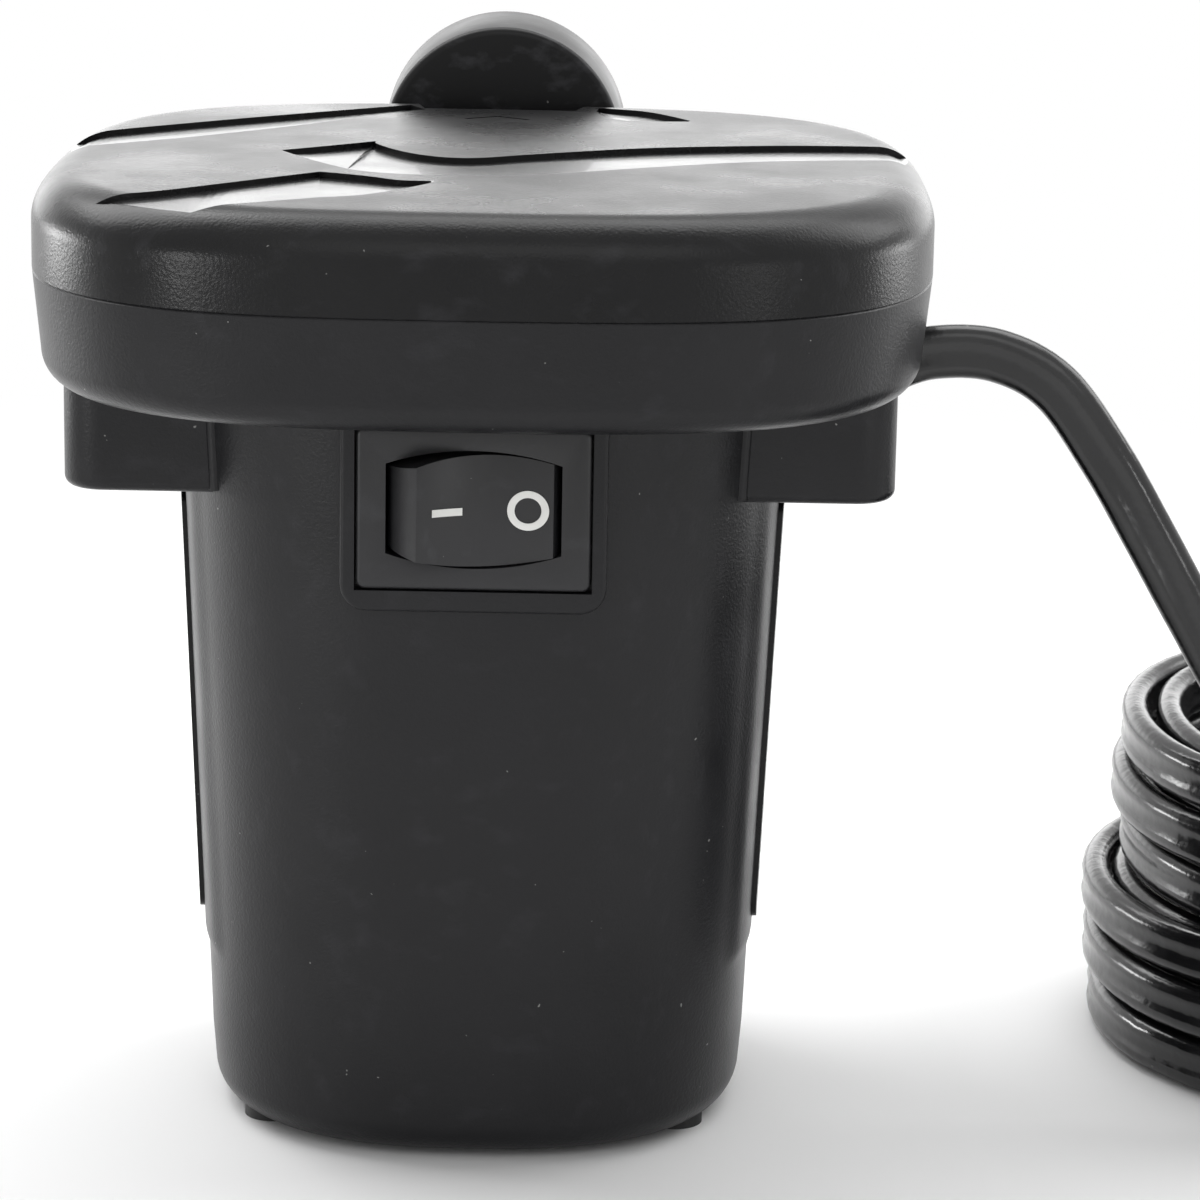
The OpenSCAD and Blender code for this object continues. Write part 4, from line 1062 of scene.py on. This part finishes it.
    def grilles(self) -> None:
        """Makes both grilles: a panel that follows the body's curve, with ten slanted louvres."""
        low, high = self.grille_z
        outer, lip = (self.skin(grow, low - 3, high + 3) for grow in (self.proud, -self.wall))
        c, s = math.cos(math.radians(28)), math.sin(math.radians(28))
        turn = np.array([[c, 0, s], [0, 1, 0], [-s, 0, c]])
        slot = block((-8, 1.5 - self.grille_half, -0.75), (8, self.grille_half - 1.5, 0.75))
        slots = [slot.placed(turn, (self.half - 1.4, self.middle, low + 5.8 + k * self.pitch))
                 for k in range(self.louvres)]
        for side, name in ((1, "right"), (-1, "left")):
            face = (lambda s: s) if side > 0 else (lambda s: s.mirrored())
            panel = new_piece(f"air_grille_{name}", face(self.grille_block(0)))
            shape(panel, Cut.KEEP, [face(outer)])
            shape(panel, Cut.JOIN, [shared(face(self.grille_block(1.5)), face(lip))])
            inside = self.skin(-self.wall - 1, low - 4, high + 4)
            shape(panel, Cut.REMOVE, [face(skin) for skin in (inside, *slots)])
            finished(panel, DARK_ABS, replaces=[f"side_grille_{name}"])


# -------------------------------------------------------------------- head


@dataclass(frozen=True)
class ReliefLine:
    """A moulded line on the cover: an upright step, and a ramp that sinks towards it.

    Both rows of points are in the head's own frame: the step's line, and the ramp's far edge.
    """

    step: tuple[tuple[float, float], ...]
    far: tuple[tuple[float, float], ...]
    depth: float = 0.55

    def covers(self, x: float, y: float) -> bool:
        """Returns whether a point of the top lies between the step and the ramp's far edge."""
        loop = np.concatenate([smooth_path(self.step, 10), smooth_path(self.far, 10)[::-1]])[:, :2]
        a, b = loop, np.roll(loop, -1, axis=0)
        crosses = (a[:, 1] > y) != (b[:, 1] > y)
        rise = np.where(crosses, b[:, 1] - a[:, 1], 1.0)
        at = a[:, 0] + (y - a[:, 1]) * (b[:, 0] - a[:, 0]) / rise
        return bool(np.count_nonzero(crosses & (at > x)) % 2)


@dataclass
class Head:
    """The wide fan head: its base, its cover with the moulded relief, and the outlet collar."""

    middle: float = -7.0
    half: float = 42.5
    power: float = 3.1
    body_top: float = 73.5
    seam: float = 84.0
    top: float = 93.4
    wall: float = 2.0
    draft: float = 0.75
    corner: float = 3.0
    edge: float = 4.5
    crown: float = 0.4
    ceiling: float = 91.0
    motor_y: float = -1.0
    collar_r: float = 12.6
    bore_r: float = 9.5
    collar_z: float = 88.0
    collar_y: tuple[float, float] = (35.6, 49.5)
    duct_half: float = 9.8
    body: Housing = field(default_factory=Housing)
    relief: tuple[ReliefLine, ...] = (
        ReliefLine(((-43.5, 7.6), (-37.0, 13.2), (-29.6, 19.2), (-20.2, 27.2), (-9.4, 37.0)),
                   ((-43.5, -2.0), (-35.7, 2.8), (-28.5, 8.1), (-19.4, 17.2), (-7.6, 32.8))),
        ReliefLine(((-19.7, -1.9), (-15.3, 1.6), (-11.1, 5.3)),
                   ((-19.4, -2.7), (-16.2, -8.8), (-12.6, -14.3))),
        ReliefLine(((-11.1, 5.3), (-10.9, 3.4), (-8.9, -0.7), (-6.4, -4.0), (-3.4, -5.8),
                    (-0.4, -5.5), (3.1, -3.3), (8.8, 0.3), (15.5, 4.1), (25.3, 7.8), (33.2, 9.9),
                    (43.5, 11.6)),
                   ((-12.6, -14.3), (-11.4, -15.3), (-9.5, -16.4), (-6.4, -17.2), (-3.4, -17.6),
                    (-0.2, -17.4), (3.8, -16.6), (8.6, -14.1), (14.6, -10.2), (24.5, -4.2),
                    (33.0, -0.8), (43.5, 2.2))),
        ReliefLine(((-38.0, -31.4), (-33.7, -31.0), (-29.4, -29.4), (-24.2, -25.0), (-15.0, -16.3)),
                   ((-37.6, -33.0), (-33.0, -33.0), (-28.6, -35.6), (-24.2, -37.0), (-14.0, -31.5)),
                   0.5),
        ReliefLine(((-15.0, -16.3), (-12.5, -17.5), (-10.1, -18.9), (-7.4, -20.8), (-4.5, -21.0)),
                   ((-14.0, -31.5), (-11.5, -30.5), (-9.5, -29.0), (-6.9, -26.0), (-4.4, -22.0))),
        ReliefLine(((10.2, 37.2), (14.5, 35.2), (17.1, 31.8), (19.6, 27.0)),
                   ((10.0, 34.0), (10.9, 29.0), (13.5, 25.6), (19.4, 26.2))),
        ReliefLine(((9.5, 39.4), (14, 39.0), (19, 38.0), (24.1, 36.4)),
                   ((9.5, 38.6), (14, 38.0), (19, 37.0), (24, 36.0))),
    )

    def top_height(self, x: Array, y: Array) -> Array:
        """Returns the cover's height: a shallow dome that rounds down at its edge."""
        n = self.power
        h = (np.abs(x) ** n + np.abs(y) ** n) ** (1 / n)
        flat = self.half - self.edge
        over = np.clip(h - flat, 0, self.edge / 2)
        drop = self.edge - np.sqrt(self.edge ** 2 - over ** 2)
        return self.top - self.crown * np.clip(h / flat, 0, 1) ** 2 - drop

    def ramp_cutter(self, line: ReliefLine) -> Skin:
        """Returns the wedge that is taken from the cover along a relief line.

        At each station its section has four corners: the step's foot at the line's depth, the
        ramp's far edge just under the surface, and the two points above them.

        Args:
            line: the relief line.

        Returns:
            The closed wedge.
        """
        path, far = smooth_path(line.step, 10), smooth_path(line.far, 10)
        width = np.linalg.norm(far - path, axis=1)
        near_z = self.top_height(path[:, 0], path[:, 1])
        far_z = self.top_height(far[:, 0], far[:, 1])
        sink = line.depth * np.clip(width / 3, 0.25, 1)
        corners = [np.column_stack([path, near_z - sink]), np.column_stack([far, far_z - 0.03]),
                   np.column_stack([far, far_z + 5]), np.column_stack([path, near_z + 5])]
        return grid_skin(np.stack(corners, 1)).shifted(y=self.middle)

    def arrow(self) -> list[Skin]:
        """Returns the grooves of a small arrow that points to the outlet."""
        tip, z = 27.4, self.top - 0.22
        section = rounded_rectangle(0.3, 1.0, 0.05, 2) + [0, 0.8]
        paths = [np.array([(x, tip - 2.6, z), (0.0, tip, z)]) for x in (-3.2, 3.2)]
        return [swept(path, section).shifted(y=self.middle) for path in paths]

    def polish_ramps(self, cover: Piece) -> None:
        """Gives the relief's ramps their polished finish, with crisp edges."""
        mesh = cover.data
        mesh.materials.append(RAMP_ABS.material())
        ramps = set()
        for face in mesh.polygons:
            x, y = face.center.x / MM, face.center.y / MM - self.middle
            if face.normal.z > 0.9 and face.center.z / MM > self.top - 2.5 and any(
                    line.covers(x, y) for line in self.relief):
                ramps.add(face.index)
                face.material_index = 1
        faces: dict[tuple[int, int], list[int]] = {}
        for face in mesh.polygons:
            for key in face.edge_keys:
                faces.setdefault(key, []).append(face.index)
        for edge in mesh.edges:
            if len({i in ramps for i in faces.get(edge.key, [])}) == 2:
                edge.use_edge_sharp = True

    def cover(self) -> Piece:
        """The cover: a profile carried round a superellipse, cut by its relief and openings."""
        half, e, w = self.half, self.edge, self.wall
        low = self.top - self.crown - e
        inner_r = e - w
        side = [(half - 0.12, self.seam), (half, self.seam + 0.14), (half, low)]
        edge = arc((half - e, low), e, e, 0, 90, 14)[1:]
        crown = [(h, float(self.top_height(np.array([h]), np.array([0.0]))[0]))
                 for h in np.linspace(half - e, 0, 30)[1:]]
        under = [(0, self.ceiling)] + [(half - w - inner_r + x, z) for x, z in
                                       arc((0, self.ceiling - inner_r), inner_r, inner_r, 90, 0, 6)]
        lip, seam = half - w, self.seam
        tongue = [(lip, seam + 2), (lip - 1.1, seam + 1), (lip - 1.1, seam - 1.2),
                  (lip - 0.2, seam - 1.2), (lip - 0.2, seam)]
        profile = side + edge + crown + under + tongue + [(half - 0.12, seam)]
        cover = new_piece("fan_cover", turned(profile, self.power, 288).shifted(y=self.middle))
        shape(cover, Cut.JOIN, self.body.screws(cylinder(2.6, seam, self.ceiling + 0.2)))
        # The duct's opening, and the hollow above it on top
        d, y = self.duct_half, self.middle
        hollow = np.array([(d - 2, 34), (d + 1, 50), (-d - 1, 50), (2 - d, 34)], float)
        cuts = [block((-d - 0.1, y + 32, seam - 3), (d + 0.1, y + 52, 90.9)),
                prism(lambda i: hollow, self.top - 1.2, self.top + 3).shifted(y=y)]
        cuts += self.body.screws(cylinder(1.5, seam - 2, seam + 5.5))
        cuts += self.body.screws(cylinder(2.8, seam - 2, seam))
        shape(cover, Cut.REMOVE, cuts)
        for line in self.relief:
            shape(cover, Cut.REMOVE, [self.ramp_cutter(line)])
        shape(cover, Cut.REMOVE, self.arrow())
        finished(cover, COVER_ABS, replaces=["top_cover"], angle=24)
        self.polish_ramps(cover)
        return cover

    def scroll(self) -> list[Skin]:
        """Returns the scroll's wall: a spiral whose radius grows evenly with its angle."""
        a = np.radians(np.linspace(115, 425, 94))
        r = 26 + 7 * (np.degrees(a) - 115) / 310
        low, high = self.body_top + self.wall - 0.01, self.ceiling - 0.2
        edge = band(r, r + 1.5, a)
        spiral = prism(lambda i: edge, low, high).shifted(y=self.motor_y)
        d, y = self.duct_half + 0.1, self.middle
        walls = [block((x - 0.75, y + 30, low), (x + 0.75, y + 37.5, high))
                 for x in (-d - 0.75, d + 0.75)]
        return [spiral, *walls, block((d, y + 35.6, low), (d + 5, y + 37.1, high))]

    def base(self) -> Piece:
        """The head's base: a shallow bowl that holds the scroll and the screw posts."""
        low, floor = self.body_top, self.body_top + self.wall
        r, inner_half = self.corner, self.half - self.wall
        middle = self.half - self.draft - r
        outer = arc((middle, low + r), r, r, -90, 0, 14)
        inner = arc((middle, floor + r - self.wall), r - self.wall, r - self.wall, 0, -90, 6)
        rim = [(self.half - 0.02, self.seam - 0.14), (self.half - 0.12, self.seam)]
        profile = [(0, low)] + outer + rim + [(inner_half, self.seam)] + inner + [(0, floor)]
        base = new_piece("fan_base", turned(profile, self.power, 288).shifted(y=self.middle))
        # A skirt that centres the head in the body's mouth
        skirt = turned([(25.5, low - 2), (26.7, low - 2), (26.7, low + 0.01), (25.5, low + 0.01),
                        (25.5, low - 2)], self.body.power, 192).shifted(y=self.middle)
        posts = self.body.screws(cylinder(2.6, floor - 0.01, self.seam))
        shape(base, Cut.JOIN, self.scroll() + posts + [skirt])
        # The motor's neck, the cord's way out in three steps, and the duct
        d, y, m, c = self.duct_half, self.middle, self.motor_y, self.body.cord_y
        cuts = [cylinder(5.1, low - 1, low + 5).shifted(y=m),
                block((32.8, c - 1.5, low - 1), (52.5, c + 1.5, 78.4)),
                block((23.1, c - 1.5, low - 1), (52.5, c + 1.5, 74.75)),
                block((20.1, c - 3, low - 3), (29.1, c + 3, low)),
                block((-d - 0.1, y + 32, 77), (d + 0.1, y + 52, 107))]
        cuts += [cylinder(1.3, low - 1, low + 5).shifted(s * 8.5, m) for s in (-1, 1)]
        cuts += self.body.screws(cylinder(1.6, low - 1, self.seam + 1))
        for k in range(4):
            edge = band(14.6, 19.0, np.radians(np.linspace(90 * k + 15, 90 * k + 75, 20)))
            cuts.append(prism(lambda i, e=edge: e, low - 1, low + 3).shifted(y=m))
        shape(base, Cut.REMOVE, cuts)
        return finished(base, SHELL_ABS, replaces=["head_base"])

    def collar(self) -> Piece:
        """The outlet collar: a flared lathe ring, with the square duct behind it."""
        r, bore = self.collar_r, self.bore_r
        length = self.collar_y[1] - self.collar_y[0]
        profile = [(0, 0), (r - 0.8, 0)] + arc((r - 0.8, 0.8), 0.8, 0.8, -60, 0, 3)
        profile += [(r + 0.4, length - 0.8)] + arc((r - 0.4, length - 0.8), 0.8, 0.8, 20, 90, 4)
        profile += [(bore + 0.5, length), (bore + 0.15, length - 0.1), (bore, length - 0.5),
                    (bore, 2), (0, 2)]
        start, z = self.collar_y[0], self.collar_z
        collar = new_piece("outlet_ring", turned(profile, 2, 128).placed(TO_BACK, (0, start, z)))
        d = self.duct_half
        shape(collar, Cut.JOIN, [block((-d, self.middle + 34, 77.1), (d, start + 1, 90.8))])
        tunnel = block((1.3 - d, self.middle + 33, 78.4), (d - 1.3, self.middle + 47, 89.5))
        bore_on = cylinder(bore - 0.8, -60, 0, 0, 96).placed(TO_BACK, (0, start + length, z))
        shape(collar, Cut.REMOVE, [shared(tunnel, bore_on)])
        # The collar's finish paints part of its highlights into pale streaks
        return finished(collar, COLLAR_ABS_WEAR_AND_PAINTED_SHEEN, replaces=["outlet_collar"])

    def build(self) -> None:
        """Makes the head's three mouldings."""
        self.base()
        self.cover()
        self.collar()


# ------------------------------------------------------------------ switch


@dataclass
class RockerSwitch:
    """The mini rocker switch: its bezel and case, its rocker and its printed marks."""

    front: float = -35.9
    z: float = 64.3
    bezel: tuple[float, float, float] = (21.6, 1.6, 15.2)
    case: tuple[float, float, float] = (19.0, 11.4, 13.0)
    pivot_y: float = -32.4
    rest: float = 12.5
    round_r: float = 8.1
    tall: float = 10.4
    barrel_r: float = 25.0
    face_r: float = 16.3
    face_y: float = 3.75

    def barrel(self, grow: float, low: float, high: float, half: float) -> Skin:
        """Returns the rocker's barrel outline as a prism along Y.

        At x the outline reaches sqrt(R^2 - x^2) - R + tall / 2 above and below the middle.
        """
        x = np.linspace(-half, half, 33)
        rise = np.sqrt((self.barrel_r + grow) ** 2 - x ** 2) - self.barrel_r + self.tall / 2
        edge = np.concatenate([np.stack([x, rise], -1), np.stack([x, -rise], -1)[::-1]])
        return prism(lambda i: edge, low, high).placed(SWAP_YZ)

    def housing(self) -> Piece:
        """The bezel with its soft edges, on the case that snaps into the body."""
        w, t, h = self.bezel
        cw, depth, ch = self.case
        y, z, room = self.front, self.z, self.tall / 2 + 0.15
        plate = prism(lambda i: rounded_rectangle(w / 2 - i, h / 2 - i, max(0.9 - i, 0.3)),
                      -t, 0, 0, 0.5)
        case = new_piece("switch_frame", plate.placed(TO_FRONT, (0, y, z)))
        shape(case, Cut.JOIN, [block((-cw / 2, y + t - 0.01, z - ch / 2),
                                     (cw / 2, y + t + depth, z + ch / 2))])
        cuts = [self.barrel(0.3, -1, 4, 8.05).shifted(y=y, z=z),
                block((-8.4, y + t, z - room), (8.4, y + t + depth - 1.2, z + room)),
                cylinder(1.04, z - 6.2, z + 6.2).shifted(y=self.pivot_y)]
        cuts += [block((x - 0.4, -25.8, z - 2.4), (x + 0.4, -15.8, z + 2.4)) for x in (0, 5.2)]
        shape(case, Cut.REMOVE, cuts)
        softened(case, 0.16)
        return finished(case, SWITCH_NYLON, replaces=["switch_housing"])

    def rocker(self) -> Piece:
        """The rocker: a round-ended barrel with a hollow face, set to its off side."""
        half = self.tall / 2
        rocker = new_piece("rocker_cap", cylinder(self.round_r, -half, half, 0, 96))
        shape(rocker, Cut.KEEP, [self.barrel(0, -12, 12, 8.6)])
        shape(rocker, Cut.REMOVE, [
            cylinder(self.face_r, -10, 10, 0, 128).shifted(y=-self.face_y - self.face_r),
            block((-10, 2, -10), (10, 14, 10))])
        softened(rocker, 0.3, 3)
        a = math.radians(self.rest)
        turn = np.array([[math.cos(a), -math.sin(a), 0], [math.sin(a), math.cos(a), 0], [0, 0, 1]])
        mesh = rocker.data
        moved = mesh_points(mesh) @ turn.T + [0, self.pivot_y, self.z]
        mesh.vertices.foreach_set("co", (moved * MM).ravel())
        mesh.update()
        pins = [cylinder(1, z - 0.55, z + 0.55) for z in (-5.5, 5.5)]
        shape(rocker, Cut.JOIN, [pin.shifted(y=self.pivot_y, z=self.z) for pin in pins])
        return finished(rocker, SWITCH_NYLON, "rocker", replaces=["switch_rocker"])

    def build(self) -> None:
        """Makes the switch and dresses its contacts, plunger and marks."""
        self.housing()
        self.rocker()
        dressed({"rocker_marks": WHITE_INK, "switch_terminals": BRASS, "switch_contact": COPPER,
                 "rocker_plunger": IMPELLER_NYLON})


# ------------------------------------------------------------------- motor


@dataclass
class MotorAndFan:
    """The motor, its suppressor, the impeller and the inner wires."""

    wire_r: float = 0.8
    join_z: float = 23.4

    def routes(self) -> list[tuple[list[tuple[float, float, float]], tuple[float, float, float]]]:
        """Returns each wire's route and the direction that it leans to."""
        z = self.join_z
        supply = [(27.6, -12, 72.9), (24, -13, 71.6), (19, -18.5, 70.2), (13, -20.3, 69.6),
                  (7, -18.2, 68.6), (0, -17.6, 67.7)]
        motor = [(5.2, -17.6, 61), (5.4, -18.3, 56), (7, -18.6, 48), (10, -17, z + 14.6),
                 (12.5, -14, z + 4.6), (11.5, -10, z + 0.6), (9.5, -5.5, z), (9, -3.6, z)]
        back = [(27.6, -12, 70.7), (25, -12.6, 69.8), (22.5, -15.2, 66.5), (19, -18.8, 60),
                (12, -22, 54), (2, -22.5, 51), (-7, -20, 46), (-11.5, -16.2, z + 13.6),
                (-12.5, -14, z + 4.6), (-11.5, -10, z + 0.6), (-9.5, -5.5, z), (-9, -3.6, z)]
        return [(supply, (0, 0, 1)), (motor, (1, 0, 0)), (back, (0, 1, 0.4))]

    def build(self) -> None:
        """Dresses the motor's nodes and makes the wires."""
        dressed({
            "motor_can": NICKEL, "motor_end_cap": DARK_ABS, "motor_magnets": FERRITE,
            "motor_brushes": CARBON, "brush_springs": BRASS, "motor_terminals": BRASS,
            "motor_bush_top": BRASS, "motor_bush_bottom": BRASS, "motor_screws": ZINC,
            "motor_cushion": RUBBER, "noise_capacitor": CERAMIC_DISC, "motor_shaft": NICKEL,
            "armature_core": NICKEL, "armature_windings": COPPER, "commutator": COPPER,
            "impeller": IMPELLER_NYLON, "impeller_washer": ZINC})
        tubes = [swept(smooth_path(route, 5), squircle(self.wire_r, 2, 14), lean)
                 for route, lean in self.routes()]
        finished(new_piece("inner_wires", joined(tubes)), WIRE_PVC, replaces=["switch_wires"],
                 angle=60)


def main() -> None:
    """Builds the scene: the studio and the cord first, then each sub-assembly."""
    logging.basicConfig(level=logging.INFO, format="%(message)s")
    Studio().build()
    CordAndPlug().build()
    for part in (Housing(), Head(), RockerSwitch(), MotorAndFan()):
        part.build()


if __name__ == "__main__":
    main()
